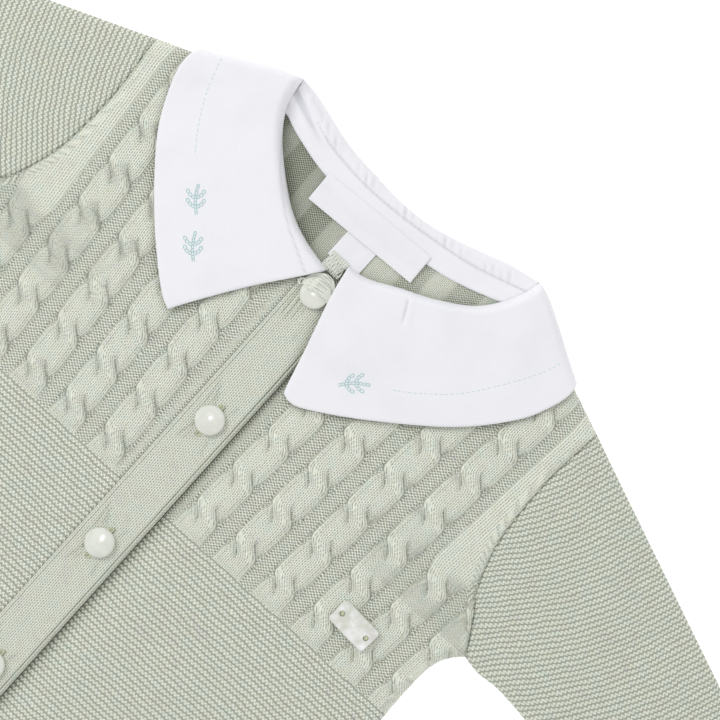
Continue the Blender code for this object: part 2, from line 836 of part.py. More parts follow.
def build_collar_front(name, tables, material):
    """A collar half on top of its front, rolled over at the neck and at the shoulder."""
    edges = {key: smooth(rows) for key, rows in tables.items()}
    facing = 1 if name == "collar_right" else -1
    rolls = (edges["neck"][::facing], edges["crest"][::facing])
    wall = Wall()
    faces = []
    for depth in (0.0, WOVEN):
        face = []
        for v in COLLAR_ACROSS:
            row = []
            for u in COLLAR_ALONG:
                x, y = patch(edges, u, v)
                share, shift = rolled(rolls, x, y, COLLAR_FOLD)
                flat = COLLAR_Z + lift(x, y) - depth
                z = COLLAR_RIM_Z + (flat - COLLAR_RIM_Z) * share
                row.append(wall.add((x + depth * shift[0], y + depth * shift[1], z)))
            face.append(row)
        faces.append(face)
    wall.close_grids(*faces)
    return wall.make(name, material)


def build_collar_back(material):
    """The collar's back, flat on the floor below the back, turned up at its folds."""
    right = {key: smooth(rows) for key, rows in COLLAR_FRONTS["collar_right"].items()}
    left = {key: smooth(rows) for key, rows in COLLAR_FRONTS["collar_left"].items()}
    edges = {
        "neck": smooth(NECK_FOLD),
        "outer": smooth(COLLAR_BACK_EDGE),
        "front": left["crest"],
        "crest": right["crest"],
    }
    rolls = (edges["neck"], edges["front"][::-1], edges["crest"])
    near = (0.0, 0.007, 0.02, 0.045)
    shares = list(near) + [0.12 + 0.76 * k / 10 for k in range(11)] + [1 - t for t in near[::-1]]
    wall = Wall()
    faces = []
    for depth in (0.0, WOVEN):
        face = []
        for v in COLLAR_ACROSS:
            row = []
            for u in shares:
                x, y = patch(edges, u, v)
                share, shift = rolled(rolls, x, y, COLLAR_FOLD)
                turn = ease((abs(x) - NECK_FOLD_HALF) / (CREST_START - NECK_FOLD_HALF))
                rim = NECK_FOLD_RIM_Z + (BACK_COLLAR_RIM_Z - NECK_FOLD_RIM_Z) * turn
                z = depth + (rim - depth) * (1 - share)
                row.append(wall.add((x + depth * shift[0], y + depth * shift[1], z)))
            face.append(row)
        faces.append(face)
    wall.close_grids(*faces)
    return wall.make("collar_back", material)


def build_stand(material):
    """The white band inside the back neck, rolled over at the neck fold."""
    fold = smooth(NECK_FOLD)
    seam = smooth(STAND_SEAM)
    wall = Wall()
    faces = []
    for depth in (0.0, WOVEN):
        face = []
        for v in (0.0, 0.03, 0.1, 0.25, 0.6, 1.0):
            row = []
            for k in range(17):
                x = NECK_FOLD_HALF * (2 * k / 16 - 1)
                y_fold, y_seam = at(fold, x, 0, 1), at(seam, x, 0, 1)
                y = y_fold + v * (y_seam - y_fold)
                share, shift = rolled((fold,), x, y, COLLAR_FOLD)
                rim = NECK_FOLD_RIM_Z + GAP
                flat = STAND_Z + WOVEN - depth
                z = rim + (flat - rim) * share
                row.append(wall.add((x, y + depth * shift[1], z)))
            face.append(row)
        faces.append(face)
    wall.close_grids(*faces)
    return wall.make("collar_stand", material)


# ---------------------------------------------------------------- labels and trimmings

def build_neck_label(material):
    """Blank label over the stand's seam, dropping a little towards its lower edge."""
    wall = Wall()
    turn = (math.cos(LABEL_TURN), math.sin(LABEL_TURN))
    faces = []
    for depth in (0.0, LABEL):
        face = []
        for k in range(6):
            off = LABEL_SIZE[1] * (0.5 - k / 5)
            row = []
            for across in (-0.5, -0.17, 0.17, 0.5):
                run = LABEL_SIZE[0] * across
                x = LABEL_CENTRE[0] + run * turn[0] - off * turn[1]
                y = LABEL_CENTRE[1] + run * turn[1] + off * turn[0]
                on_stand = ease((y - at(STAND_SEAM, x, 0, 1) + 4.5) / 4.0)
                z = LABEL_LOW_Z + (LABEL_RAISED_Z - LABEL_LOW_Z) * on_stand
                row.append(wall.add((x, y, z + LABEL - depth)))
            face.append(row)
        faces.append(face)
    wall.close_grids(*faces)
    return wall.make("neck_label", material)


def build_size_tab(material):
    wall = Wall()
    faces = []
    for z in (STAND_Z + LABEL, STAND_Z):
        faces.append([[wall.add((x, y, z)) for x in (SIZE_TAB["left"], SIZE_TAB["right"])]
                      for y in (SIZE_TAB["top"], SIZE_TAB["bottom"])])
    wall.close_grids(*faces)
    return wall.make("size_tab", material)


def build_button(name, x, y, radius, material):
    """A domed button, turned about its own axis."""
    wall = Wall()
    base = FRONT_TOP_Z + lift(x, y) + GAP
    rings = []
    for share, height in BUTTON_PROFILE:
        angles = [2 * math.pi * k / BUTTON_SIDES for k in range(BUTTON_SIDES)]
        ring = [wall.add((x + share * radius * math.cos(angle),
                          y + share * radius * math.sin(angle), base + height))
                for angle in angles]
        rings.append(ring + ring[:1])
    wall.grid(rings)
    top = wall.add((x, y, base + BUTTON_TOP))
    for a, b in zip(rings[-1], rings[-1][1:]):
        wall.faces.append((a, b, top))
    wall.faces.append(tuple(rings[0][:-1]))
    return wall.make(name, material)


def build_neck_loop(material):
    """Loop of yarn round the top button, its ends below the collar fronts."""
    curve = bpy.data.curves.new("neck_loop", "CURVE")
    curve.dimensions = "3D"
    curve.bevel_depth = LOOP_RADIUS * MM
    curve.bevel_resolution = 2
    curve.use_fill_caps = True
    route = smooth(LOOP_ROUTE, 3)
    spline = curve.splines.new("POLY")
    spline.points.add(len(route) - 1)
    for point, (x, y) in zip(spline.points, route):
        z = FRONT_TOP_Z + lift(x, y) + GAP + LOOP_RADIUS
        point.co = (x * MM, (y - CENTRE_Y) * MM, z * MM, 1.0)
    curve.materials.append(material)
    loop = bpy.data.objects.new("neck_loop", curve)
    bpy.context.scene.collection.objects.link(loop)
    return loop


def build_pearl_tab(material):
    """Small plate with bevelled edges and two sewing holes."""
    length, width, height = (size * MM for size in TAB_SIZE)
    mesh = bpy.data.meshes.new("pearl_tab")
    work = bmesh.new()
    bmesh.ops.create_cube(work, size=1.0)
    bmesh.ops.scale(work, vec=(length, width, height), verts=work.verts)
    upright = [edge for edge in work.edges
               if abs(edge.verts[0].co.z - edge.verts[1].co.z) > height / 2]
    bmesh.ops.bevel(work, geom=upright, offset=1.1 * MM, segments=3, profile=0.5,
                    affect="EDGES")
    work.to_mesh(mesh)
    work.free()
    mesh.materials.append(material)
    tab = bpy.data.objects.new("pearl_tab", mesh)
    bpy.context.scene.collection.objects.link(tab)
    lift_z = FRONT_TOP_Z + CABLE_CROSSING + GAP + TAB_SIZE[2] / 2
    tab.location = (TAB_CENTRE[0] * MM, (TAB_CENTRE[1] - CENTRE_Y) * MM, lift_z * MM)
    tab.rotation_euler.z = TAB_TURN
    for number, end in enumerate((-0.5, 0.5)):
        cutter = build_hole_cutter(f"tab_hole_cutter_{number}", 3 * height)
        cutter.parent = tab
        cutter.location.x = end * TAB_HOLE_SPACING * MM
        hole = tab.modifiers.new(f"hole_{number}", "BOOLEAN")
        hole.object = cutter
        hole.operation = "DIFFERENCE"
        hole.solver = "EXACT"
    rounding = tab.modifiers.new("worn_edges", "BEVEL")
    rounding.width = 0.3 * MM
    rounding.segments = 2
    rounding.limit_method = "ANGLE"
    rounding.angle_limit = math.radians(50)
    return tab


def build_hole_cutter(name, height):
    mesh = bpy.data.meshes.new(name)
    work = bmesh.new()
    bmesh.ops.create_cone(work, cap_ends=True, segments=12, radius1=TAB_HOLE_RADIUS * MM,
                          radius2=TAB_HOLE_RADIUS * MM, depth=height)
    work.to_mesh(mesh)
    work.free()
    cutter = bpy.data.objects.new(name, mesh)
    bpy.context.scene.collection.objects.link(cutter)
    cutter.hide_render = True
    cutter.display_type = "WIRE"
    return cutter


# ---------------------------------------------------------------- the whole garment

def make_material(name, colour, roughness, metallic=0.0):
    material = bpy.data.materials.new(name)
    material.use_nodes = True
    shader = material.node_tree.nodes["Principled BSDF"]
    shader.inputs["Base Color"].default_value = colour
    shader.inputs["Roughness"].default_value = roughness
    shader.inputs["Metallic"].default_value = metallic
    return material


def clear_scene():
    for item in list(bpy.data.objects):
        bpy.data.objects.remove(item, do_unlink=True)


def main():
    clear_scene()

    def knit(name):
        return make_material(name, KNIT_COLOUR, 0.9)

    def woven(name):
        return make_material(name, WOVEN_COLOUR, 0.75)

    def pearl(name):
        return make_material(name, PEARL_COLOUR, 0.25)

    build_back(knit("back_knit"))
    build_front("front_left", -1, knit("front_left_knit"), 0.0)
    build_front("front_right", 1, knit("front_right_knit"), KNIT + GAP)
    build_sleeve("sleeve_left", -1, knit("sleeve_left_knit"))
    build_sleeve("sleeve_right", 1, knit("sleeve_right_knit"))
    half = BAND_HALF_WIDTH
    build_band("button_band", knit("button_band_knit"), (-half, -half + 0.7, 0.0, half - 0.7, half),
               (3.5, CROTCH + 0.5), button_band_top)
    build_band("under_band", knit("under_band_knit"), (-half + 0.6, 0.0, half),
               (3.0, CROTCH + 10), under_band_top)
    for name, tables in COLLAR_FRONTS.items():
        build_collar_front(name, tables, woven(name + "_cotton"))
    build_collar_back(woven("collar_back_cotton"))
    build_stand(woven("collar_stand_cotton"))
    build_neck_label(woven("neck_label_cloth"))
    build_size_tab(woven("size_tab_cloth"))
    build_neck_loop(make_material("neck_loop_yarn", YARN_COLOUR, 0.8))
    build_button("button_neck", *NECK_BUTTON, pearl("button_neck_pearl"))
    for number in range(BUTTONS):
        y = FIRST_BUTTON_Y - BUTTON_SPACING * number
        build_button(f"button_{number + 1}", -0.3, y, BUTTON_RADIUS,
                     pearl(f"button_{number + 1}_pearl"))
    build_pearl_tab(pearl("pearl_tab_pearl"))


main()
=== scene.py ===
"""Looks of the baby jumpsuit: knitted and woven cloth, pearl buttons, stitching, light and camera.

The garment lies flat on the plane z = 0 with its front up and its neck towards +Y. The tables are
in millimetres from the top of the centre front, x to the viewer's right and y towards the neck.
"""

import math

import bmesh
import bpy
import numpy as np
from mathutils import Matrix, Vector


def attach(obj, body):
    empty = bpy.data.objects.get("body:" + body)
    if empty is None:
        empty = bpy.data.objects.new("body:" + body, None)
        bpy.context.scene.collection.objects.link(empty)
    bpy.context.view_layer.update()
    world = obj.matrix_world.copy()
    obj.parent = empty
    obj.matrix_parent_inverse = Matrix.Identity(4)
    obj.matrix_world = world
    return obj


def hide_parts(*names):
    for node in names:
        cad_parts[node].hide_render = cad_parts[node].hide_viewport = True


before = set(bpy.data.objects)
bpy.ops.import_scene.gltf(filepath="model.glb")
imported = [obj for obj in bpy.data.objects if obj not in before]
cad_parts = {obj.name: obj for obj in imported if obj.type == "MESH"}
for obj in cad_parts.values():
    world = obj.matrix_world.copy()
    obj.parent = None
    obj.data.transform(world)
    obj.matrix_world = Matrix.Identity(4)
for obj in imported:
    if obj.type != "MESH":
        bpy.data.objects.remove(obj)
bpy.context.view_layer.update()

bl_info = {
    "name": "Baby jumpsuit",
    "version": (1, 0, 0),
    "blender": (4, 5, 0),
    "location": "3D View > Sidebar > Jumpsuit",
    "description": "Dresses the jumpsuit's solids as knitted cloth with a woven collar",
    "category": "Object",
}

MM = 0.001
GAP = 0.3
KNIT = 1.8
WOVEN = 1.0
LABEL = 0.4

# The lie of the flattened body, as the solids have it
FOLD_RADIUS = 3.0
BACK_SEAM_Z = FOLD_RADIUS
FRONT_SEAM_Z = BACK_SEAM_Z + GAP
FRONT_TOP_Z = FRONT_SEAM_Z + FOLD_RADIUS
FOLD_INSETS = (0.0, 0.12, 0.4, 0.9, 1.6, 2.3, 3.0)
BAND_HALF_WIDTH = 8.7
FRONT_EDGE = BAND_HALF_WIDTH + GAP
DIP_WIDTH = 13.0
YOKE_END = -84.0
CROTCH = -300.0
FRONT_CROTCH = -302.6
HEM = -452.0
UNDERARM = (109.0, -54.2)
SHOULDER_NECK = (52.0, 41.5)
SHOULDER_TIP = (93.0, 25.5)
CENTRE_Y = (49.2 + HEM) / 2

SLEEVE_LENGTH = 160.0
SLEEVE_SLOPE = math.radians(22.0)
CUFF_WIDTH = 58.0

CABLE_PITCH = 16.4
FIRST_CABLE = 18.2
CABLES = 6
CABLE_HALF_WIDTH = 5.4
CABLE_WIDENING = 0.06
CABLE_BULGE = 1.0
CABLE_CROSSING = 1.5
CROSSING_TOP = -12.0
CROSSING_PITCH = 15.7
CROSSING_REACH = 2.4
CABLE_WALES = 8
PLAIN_BAND = 4
FAN_START = -80.0
FAN_SHIFT = 4.2
FAN_SPREAD = 0.04
FAN_LIMIT = 1.25
PLAIN_BAND_END = -36.0          # above this the fifth cable is a plain band beside the armhole

COLLAR_Z = FRONT_TOP_Z + CABLE_CROSSING + GAP + WOVEN
COLLAR_FOLD = 3.0
COLLAR_RIM_Z = 4.75
BACK_COLLAR_RIM_Z = COLLAR_RIM_Z - GAP
NECK_FOLD_RIM_Z = 2.05
NECK_FOLD_HALF = 46.3
CREST_START = 51.0
LIFT = WOVEN + GAP
LIFT_CENTRE_Y = 34.0
LIFT_RADII = (88.0, 42.0)
LIFT_EASE = 0.25
STAND_Z = KNIT + LIFT + GAP

BUTTON_RADIUS = 4.85
NECK_BUTTON = (-2.3, -1.2, 4.7)
FIRST_BUTTON_Y = -52.35
BUTTON_SPACING = 51.5
BUTTONS = 5
TAB_CENTRE = (76.1, -69.8)
TAB_TURN = math.radians(-4.6)
TAB_HOLE_SPACING = 10.6
LABEL_SIZE = (41.6, 10.4)
LABEL_CENTRE = (-3.5, 26.0)
LABEL_TURN = math.radians(2.3)
SIZE_TAB = {"left": -8.0, "right": 3.6, "top": 22.4, "bottom": 11.2}
LABEL_RAISED_Z = STAND_Z + WOVEN + GAP
LABEL_LOW_Z = STAND_Z + LABEL + GAP

FOLD_FADE = 2.2                 # how fast a soft fold rises from its ends
THREAD_END = 0.45               # width of a thread at its ends, of its full one
SHARP_SMALL = 80.0              # angle in degrees of edges that stay sharp on small parts

# Outlines: rows of (x, y)
ARMHOLE = (
    SHOULDER_TIP, (92.0, 18.7), (91.0, 5.9), (91.3, -10.0), (92.9, -22.6), (97.3, -35.3),
    (102.5, -43.8), UNDERARM,
)
SLEEVE_UNDERSIDE = (
    (160.0, -63.0), (140.0, -57.2), (124.4, -55.0), (115.4, -55.4), UNDERARM,
)
SIDE = (
    UNDERARM, (105.8, -57.7), (103.6, -62.0), (102.5, -70.0), (102.8, -90.0), (105.0, -130.0),
    (113.0, -215.0), (117.0, -290.0), (114.0, -350.0), (103.0, HEM),
)
INSEAM = (
    (0.0, CROTCH), (5.0, -300.8), (FRONT_EDGE, FRONT_CROTCH), (12.5, -306.5), (16.5, -316.0),
    (22.0, -340.0), (29.0, -390.0), (36.0, HEM),
)
FRONT_NECK = (
    (FRONT_EDGE, 3.5), (16.0, 5.5), (25.0, 9.8), (34.0, 16.0), (43.0, 25.0), (49.5, 34.5),
    SHOULDER_NECK,
)
BACK_NECK = (
    (0.0, 31.5), (20.0, 33.0), (38.0, 37.0), (47.0, 40.0), SHOULDER_NECK,
)
NECK_FOLD = (
    (-50.3, 46.9), (-43.3, 46.1), (-26.3, 41.4), (-13.8, 39.9), (-0.9, 38.9), (11.2, 39.8),
    (23.8, 43.0), (36.5, 47.0), (47.8, 49.2),
)
STAND_SEAM = (
    (-46.3, 35.0), (-39.2, 32.3), (-24.9, 29.0), (0.0, 27.5), (17.2, 29.4), (29.4, 31.8),
    (46.3, 37.4),
)
COLLAR_BACK_EDGE = (
    (-80.0, 32.6), (-74.0, 14.0), (-58.0, 3.0), (-30.0, -3.0), (0.0, -4.5), (30.0, -3.0),
    (56.0, 3.0), (71.0, 14.0), (77.3, 33.4),
)
COLLAR_FRONTS = {
    "collar_right": {
        "neck": (
            (-0.2, 12.7), (6.6, 13.7), (16.2, 18.3), (25.8, 22.6), (35.5, 28.4), (41.3, 34.3),
            (45.7, 42.0), (47.8, 49.2),
        ),
        "crest": (
            (47.8, 49.2), (53.0, 47.4), (60.0, 43.6), (69.0, 38.2), (77.3, 33.4),
        ),
        "outer": (
            (11.3, -30.6), (14.5, -31.4), (20.0, -29.5), (36.2, -19.4), (57.3, -3.3),
            (70.6, 11.6), (75.9, 21.6), (77.8, 28.5), (77.3, 33.4),
        ),
        "front": (
            (-0.2, 12.7), (1.3, 4.6), (3.0, -2.2), (6.7, -14.8), (10.2, -27.5), (11.3, -30.6),
        ),
    },
    "collar_left": {
        "neck": (
            (-4.6, 7.2), (-15.5, 9.6), (-24.7, 13.5), (-33.8, 20.2), (-42.7, 28.6),
            (-48.2, 37.0), (-50.3, 46.9),
        ),
        "crest": (
            (-50.3, 46.9), (-54.0, 45.6), (-59.5, 43.4), (-72.0, 36.8), (-80.0, 32.6),
        ),
        "outer": (
            (-33.2, -35.2), (-37.0, -33.4), (-44.1, -27.7), (-54.5, -17.8), (-66.3, -4.6),
            (-74.3, 6.7), (-80.0, 19.5), (-81.3, 27.0), (-80.0, 32.6),
        ),
        "front": (
            (-4.6, 7.2), (-8.1, 1.7), (-19.9, -14.2), (-29.2, -28.5), (-33.2, -35.2),
        ),
    },
}

# Soft folds of the upper layer: rows of x0, y0, x1, y1, half width and height
SOFT_FOLDS = (
    (108.0, -47.0, 97.0, -72.0, 5.0, 0.7),
    (-108.0, -47.0, -95.0, -66.0, 6.0, 0.6),
    (112.0, -40.0, 150.0, -48.0, 7.0, 0.8),
    (-113.0, -38.0, -146.0, -50.0, 8.0, 0.7),
    (150.0, -8.0, 196.0, -52.0, 9.0, 0.8),
    (-158.0, -12.0, -190.0, -55.0, 8.0, 0.9),
    (30.0, -128.0, 96.0, -104.0, 10.0, 0.8),
    (-96.0, -112.0, -28.0, -140.0, 9.0, 0.7),
    (22.0, -196.0, 88.0, -222.0, 12.0, 0.9),
    (-90.0, -205.0, -30.0, -184.0, 11.0, 0.8),
    (30.0, -268.0, 100.0, -250.0, 10.0, 0.7),
    (-104.0, -272.0, -26.0, -282.0, 12.0, 0.8),
    (36.0, -336.0, 100.0, -350.0, 9.0, 0.9),
    (-98.0, -332.0, -34.0, -346.0, 8.0, 0.8),
    (46.0, -402.0, 96.0, -388.0, 9.0, 0.7),
    (-92.0, -404.0, -44.0, -396.0, 10.0, 0.8),
)

# The same for the collar, where a trough has a negative height
COLLAR_CREASES = (
    (19.7, 18.6, 25.0, 9.4, 0.45, -0.5),
    (21.0, 19.0, 26.4, 10.0, 0.9, 0.2),
    (30.0, 26.0, 40.0, 2.0, 5.0, 0.25),
    (50.0, 36.0, 66.0, 10.0, 6.0, 0.3),
    (56.0, 40.0, 72.0, 22.0, 3.5, -0.2),
    (14.0, 8.0, 17.0, -18.0, 4.0, 0.2),
    (45.0, 8.0, 22.0, -16.0, 5.0, -0.2),
    (-52.0, 40.0, -70.0, 6.0, 5.0, 0.3),
    (-60.0, 36.0, -76.0, 20.0, 3.0, -0.2),
    (-40.0, 26.0, -58.0, -8.0, 6.0, 0.25),
    (-22.0, 6.0, -40.0, -20.0, 5.0, -0.2),
)
FACING_LINE = ((-9.0, 1.9), (-15.0, 5.2), (-25.0, 10.9), (-35.6, 20.2), (-43.0, 29.0))


# ---------------------------------------------------------------- curves

def smooth(rows, pieces=14):
    """Round curve through the rows of a table, as an array of points."""
    p = np.asarray(rows, float)
    before = np.vstack([p[:1], p[:-2]])
    after = np.vstack([p[2:], p[-1:]])
    t = np.linspace(0, 1, pieces + 1)[1:, None]
    points = [p[:1]]
    for a, b, c, d in zip(before, p[:-1], p[1:], after):
        points.append(b + 0.5 * t * (c - a + t * (2 * a - 5 * b + 4 * c - d
                                                  + t * (3 * (b - c) + d - a))))
    return np.vstack(points)


def run_of(curve):
    steps = np.hypot(*np.diff(curve, axis=0).T)
    return np.concatenate([[0.0], np.cumsum(steps)])


def along(curve, share):
    """Points at shares of a curve's length."""
    run = run_of(curve)
    target = np.asarray(share, float) * run[-1]
    return np.stack([np.interp(target, run, curve[:, k]) for k in (0, 1)], axis=-1)


def at(curve, value, given, wanted):
    """The wanted coordinate of a curve where its given one has a value."""
    rising = curve if curve[-1, given] > curve[0, given] else curve[::-1]
    return np.interp(value, rising[:, given], rising[:, wanted])


def ease(t):
    t = np.clip(t, 0.0, 1.0)
    return t * t * (3 - 2 * t)


def bell(*offsets):
    """1 where every offset is 0, falling off smoothly on both sides."""
    return np.exp(-sum(offset ** 2 for offset in offsets))


def nearest(curve, x, y):
    """Distance from points to a curve, and the direction away from it."""
    flat_x, flat_y = np.ravel(x), np.ravel(y)
    best = np.full(flat_x.shape, 1e9)
    away = np.zeros((2,) + flat_x.shape)
    for (ax, ay), (bx, by) in zip(curve[:-1], curve[1:]):
        dx, dy = bx - ax, by - ay
        squared = max(dx * dx + dy * dy, 1e-12)
        t = np.clip(((flat_x - ax) * dx + (flat_y - ay) * dy) / squared, 0, 1)
        ox, oy = flat_x - ax - t * dx, flat_y - ay - t * dy
        distance = np.hypot(ox, oy)
        closer = distance < best - 1e-9
        best[closer] = distance[closer]
        far = np.maximum(distance, 1e-9)
        on_it = distance < 1e-3
        length = math.sqrt(squared)
        away[0][closer] = np.where(on_it, dy / length, ox / far)[closer]
        away[1][closer] = np.where(on_it, -dx / length, oy / far)[closer]
    return best.reshape(np.shape(x)), away.reshape((2,) + np.shape(x))


SLEEVE_DIRECTION = np.array([math.cos(SLEEVE_SLOPE), -math.sin(SLEEVE_SLOPE)])
CUFF_TOP = np.array(SHOULDER_TIP) + SLEEVE_LENGTH * SLEEVE_DIRECTION
CUFF_BOTTOM = CUFF_TOP + CUFF_WIDTH * np.array([SLEEVE_DIRECTION[1], -SLEEVE_DIRECTION[0]])
ARMHOLE_CURVE = smooth(ARMHOLE)
SLEEVE_TOP_CURVE = smooth((SHOULDER_TIP, tuple(CUFF_TOP)), 4)
SLEEVE_LOWER_CURVE = smooth((tuple(CUFF_BOTTOM),) + SLEEVE_UNDERSIDE)
SIDE_CURVE = smooth(SIDE)
INSEAM_CURVE = smooth(INSEAM)
FOLDS = (
    np.vstack([[SHOULDER_NECK], SLEEVE_TOP_CURVE]),
    np.vstack([SLEEVE_LOWER_CURVE, SIDE_CURVE[1:]]),
    INSEAM_CURVE[::-1],
)


# ---------------------------------------------------------------- the lie of the cloth

def lift(x, y):
    """How far the garment is raised by the collar's back, which lies below it."""
    reach = np.hypot(x / LIFT_RADII[0], (y - LIFT_CENTRE_Y) / LIFT_RADII[1])
    return LIFT * (1 - ease((reach - 1) / LIFT_EASE))


def ridges(table, x, y):
    """Height of soft ridges and troughs, each with its two ends, half width and height."""
    high, low = np.zeros(np.shape(x)), np.zeros(np.shape(x))
    for x0, y0, x1, y1, half_width, height in table:
        dx, dy = x1 - x0, y1 - y0
        length = math.hypot(dx, dy)
        t = ((x - x0) * dx + (y - y0) * dy) / length ** 2
        off = ((x - x0) * dy - (y - y0) * dx) / length
        shape = height * ease(FOLD_FADE * (1 - abs(2 * t - 1))) * bell(off / half_width)
        high, low = np.maximum(high, shape), np.minimum(low, shape)
    return high + low


def fold_shape(x, y):
    """Share of flatness, 0 on a fold's edge, and the direction in from it."""
    found = [nearest(curve, abs(x), y) for curve in FOLDS]
    distance, away = found[0]
    for other, other_away in found[1:]:
        closer = other < distance
        distance = np.where(closer, other, distance)
        away = np.where(closer, other_away, away)
    return np.minimum(distance / FOLD_RADIUS, 1.0), np.stack([np.sign(x) * away[0], away[1]])


def body_points(x, y, upper, depth=0.0, raised=0.0):
    """Points of the upper or lower layer, a depth inside its outer face."""
    reach, away = fold_shape(x, y)
    across = 1 - reach
    height = (FOLD_RADIUS - depth) * np.sqrt(np.maximum(1 - across * across, 0))
    if upper:
        z = FRONT_SEAM_Z + height + (raised + ridges(SOFT_FOLDS, x, y)) * reach
    else:
        z = BACK_SEAM_Z - height + raised * reach
    return np.stack([x + away[0] * across * depth, y + away[1] * across * depth,
                     z + lift(x, y)], axis=-1)


def waver(x, y, reach, seed):
    """Slow uneven drift of hand-laid rows, from -1 to 1."""
    a, b = x / reach + seed, y / reach - 1.7 * seed
    return (np.sin(a + 0.6 * np.sin(1.3 * b)) + np.sin(1.7 * b + 0.8 * np.sin(0.9 * a + 1.0))
            + 0.6 * np.sin(2.3 * a - 1.9 * b + seed)) / 2.6


# ---------------------------------------------------------------- cables

CABLE_REACH = 1.1               # in half widths, with the purl beside a cable that it shades
BESIDE_CABLE = (0.24, 0.09)     # strength and width of that shade
LEFT_LEAD = 2.0                 # how much lower the crossings of the left front lie
PLAIN_BAND_EXTRA = 1.2
PLAIN_BAND_EASE = 6.0
NOTCHES = (0.7, -0.5)           # places of the notch in the left and in the right edge
NOTCH_DEPTH = 0.19
NOTCH_LENGTH = 2.1
STRAND_SWELL = 0.43
SWELL_LENGTH = 2.3
CROSSING_LENGTH = 3.4
DIPS = (-1.6, 2.2)              # where the strand behind dips, above and below
DIP_LENGTH = 2.6
DIP_REACH = 1.5
DIP_SHARE = 0.8
GROUND_START = 0.98
GROUND_EASE = 0.06
MOST_SHADE = 0.95

# Shades beside the strand in front: strength, reach out from it, place and length along
SHADES_ABOVE = ((1.1, 0.6, -1.2, 0.9), (0.62, 1.4, -2.6, 1.6))
SHADES_BELOW = ((1.0, 0.5, 2.3, 1.4), (0.55, 1.4, 3.1, 1.6))
# Shades on a strand: strength, place across and width, place along and length
OPENED = (0.45, -0.66, 0.08, 0.9, 1.2)
TIP = (0.7, 1.02, 0.12, -0.6, 0.8)
# Painted shade lines along a cable's edges: strength, place across and width
RIMS = ((0.3, 1.0, 0.05), (0.27, 0.76, 0.055))


def fan(x0, y):
    """Where a column of the yoke runs, as it fans out towards the shoulder."""
    rise = np.clip((y - FAN_START) / -FAN_START, 0.0, FAN_LIMIT)
    return x0 + (FAN_SHIFT + FAN_SPREAD * x0) * rise


def yoke_stitches(x, y, wale):
    """Relief, wale coordinate, kind (0 plain, 1 purl), shade and row shift of the cabled yoke."""
    side = np.where(x < 0, -1.0, 1.0)
    rows = (CROSSING_TOP - y - np.where(side < 0, LEFT_LEAD, 0.0)) / CROSSING_PITCH
    phase = rows - np.round(rows)
    widening = 1 + CABLE_WIDENING * (y - YOKE_END) / -YOKE_END
    flat = np.zeros(np.shape(x))
    found = (flat, abs(x) / wale, flat + 1, flat, flat)
    for cable in range(CABLES):
        centre = fan(FIRST_CABLE + CABLE_PITCH * cable, y)
        crosses = flat + 1
        half = CABLE_HALF_WIDTH * widening
        if cable == PLAIN_BAND:
            crosses = ease((PLAIN_BAND_END - y) / PLAIN_BAND_EASE)
            half = half + PLAIN_BAND_EXTRA * (1 - crosses)
        a = (x - side * centre) / half
        here = abs(a) < CABLE_REACH
        made = list(strand_relief(np.clip(a, -CABLE_REACH, CABLE_REACH), phase, crosses))
        made[1] = side * 0.5 * CABLE_WALES * made[1] + np.round(centre / wale)
        raised, u, kind, shade, moved = (np.where(here, new, old) for new, old in zip(made, found))
        strength, width = BESIDE_CABLE
        shaded = strength * bell((abs(a) - CABLE_REACH) / width) * (0.3 + 0.7 * crosses)
        found = (raised, u, kind, np.maximum(shade, shaded), moved)
    return found


def shades(table, beyond, down):
    """Strongest of the soft shades beside the strand in front."""
    return np.maximum.reduce([strength * bell(beyond / reach, (down - place) / length)
                              for strength, reach, place, length in table])


def mark(row, across, down):
    """A soft shade at one place on a strand."""
    strength, middle, width, place, length = row
    return strength * bell((across - middle) / width, (down - place) / length)


def strand_relief(a, phase, crosses):
    """Height, place among the wales, kind, shade and row shift; a is -1 to 1 across a cable.

    At a crossing the strand in front keeps its width while it turns from the left half above
    to the right half below, so it covers nearly the whole cable, which is drawn in there. The
    strand behind dips under its edges.
    """
    down = phase * CROSSING_PITCH
    notch = down - np.where(a < 0, *NOTCHES)
    a = a / (1 - NOTCH_DEPTH * bell(notch / NOTCH_LENGTH) * crosses)
    half = 0.5 + STRAND_SWELL * bell(down / SWELL_LENGTH)
    t = (a - 0.5 * np.tanh(down / CROSSING_REACH)) / half
    in_front = (abs(t) < 1) & (crosses > 0.02)
    near = bell((down / CROSSING_LENGTH) ** 2) * crosses
    rounding = np.maximum(1 - abs(a) ** 5, 0) ** 0.5
    dome = CABLE_BULGE * rounding * (1 - 0.25 * a * a) * (0.4 + 0.6 * crosses)
    front = CABLE_CROSSING * np.maximum(1 - abs(t) ** 3, 0) ** 0.5 * rounding
    beyond = np.maximum(abs(t) - 1, 0) * half * CABLE_HALF_WIDTH
    above, below = (t > 0) & ~in_front, (t < 0) & ~in_front
    dip = bell((down - np.where(above, *DIPS)) / DIP_LENGTH) * bell(beyond / DIP_REACH)
    level = np.where(in_front, np.maximum(front, 0.3 * dome), dome)
    top = (dome * (1 - near) + level * near) * (1 - DIP_SHARE * dip * ~in_front * crosses)
    # Painted shade: in the creases above and below the strand in front, where a strand opens, at
    # its tip and in lines along the edges.
    shade = np.maximum(shades(SHADES_ABOVE, beyond, down) * above,
                       shades(SHADES_BELOW, beyond, down) * below)
    shade = shade + mark(OPENED, t, down) * in_front
    rim = sum(strength * bell((abs(a) - place) / width) for strength, place, width in RIMS)
    shade = np.maximum(shade, np.maximum(rim, mark(TIP, a, down)))
    across = np.where(in_front, 0.5 * t - 0.5, a)
    slope = 0.5 * CABLE_HALF_WIDTH / CROSSING_REACH / np.cosh(down / CROSSING_REACH) ** 2
    moved = np.where(in_front, -slope * t * half * CABLE_HALF_WIDTH, 0.0)
    ground = ease((abs(a) - GROUND_START) / GROUND_EASE)
    return top, across, ground, np.clip(shade * crosses, 0, MOST_SHADE), moved


# ---------------------------------------------------------------- meshes

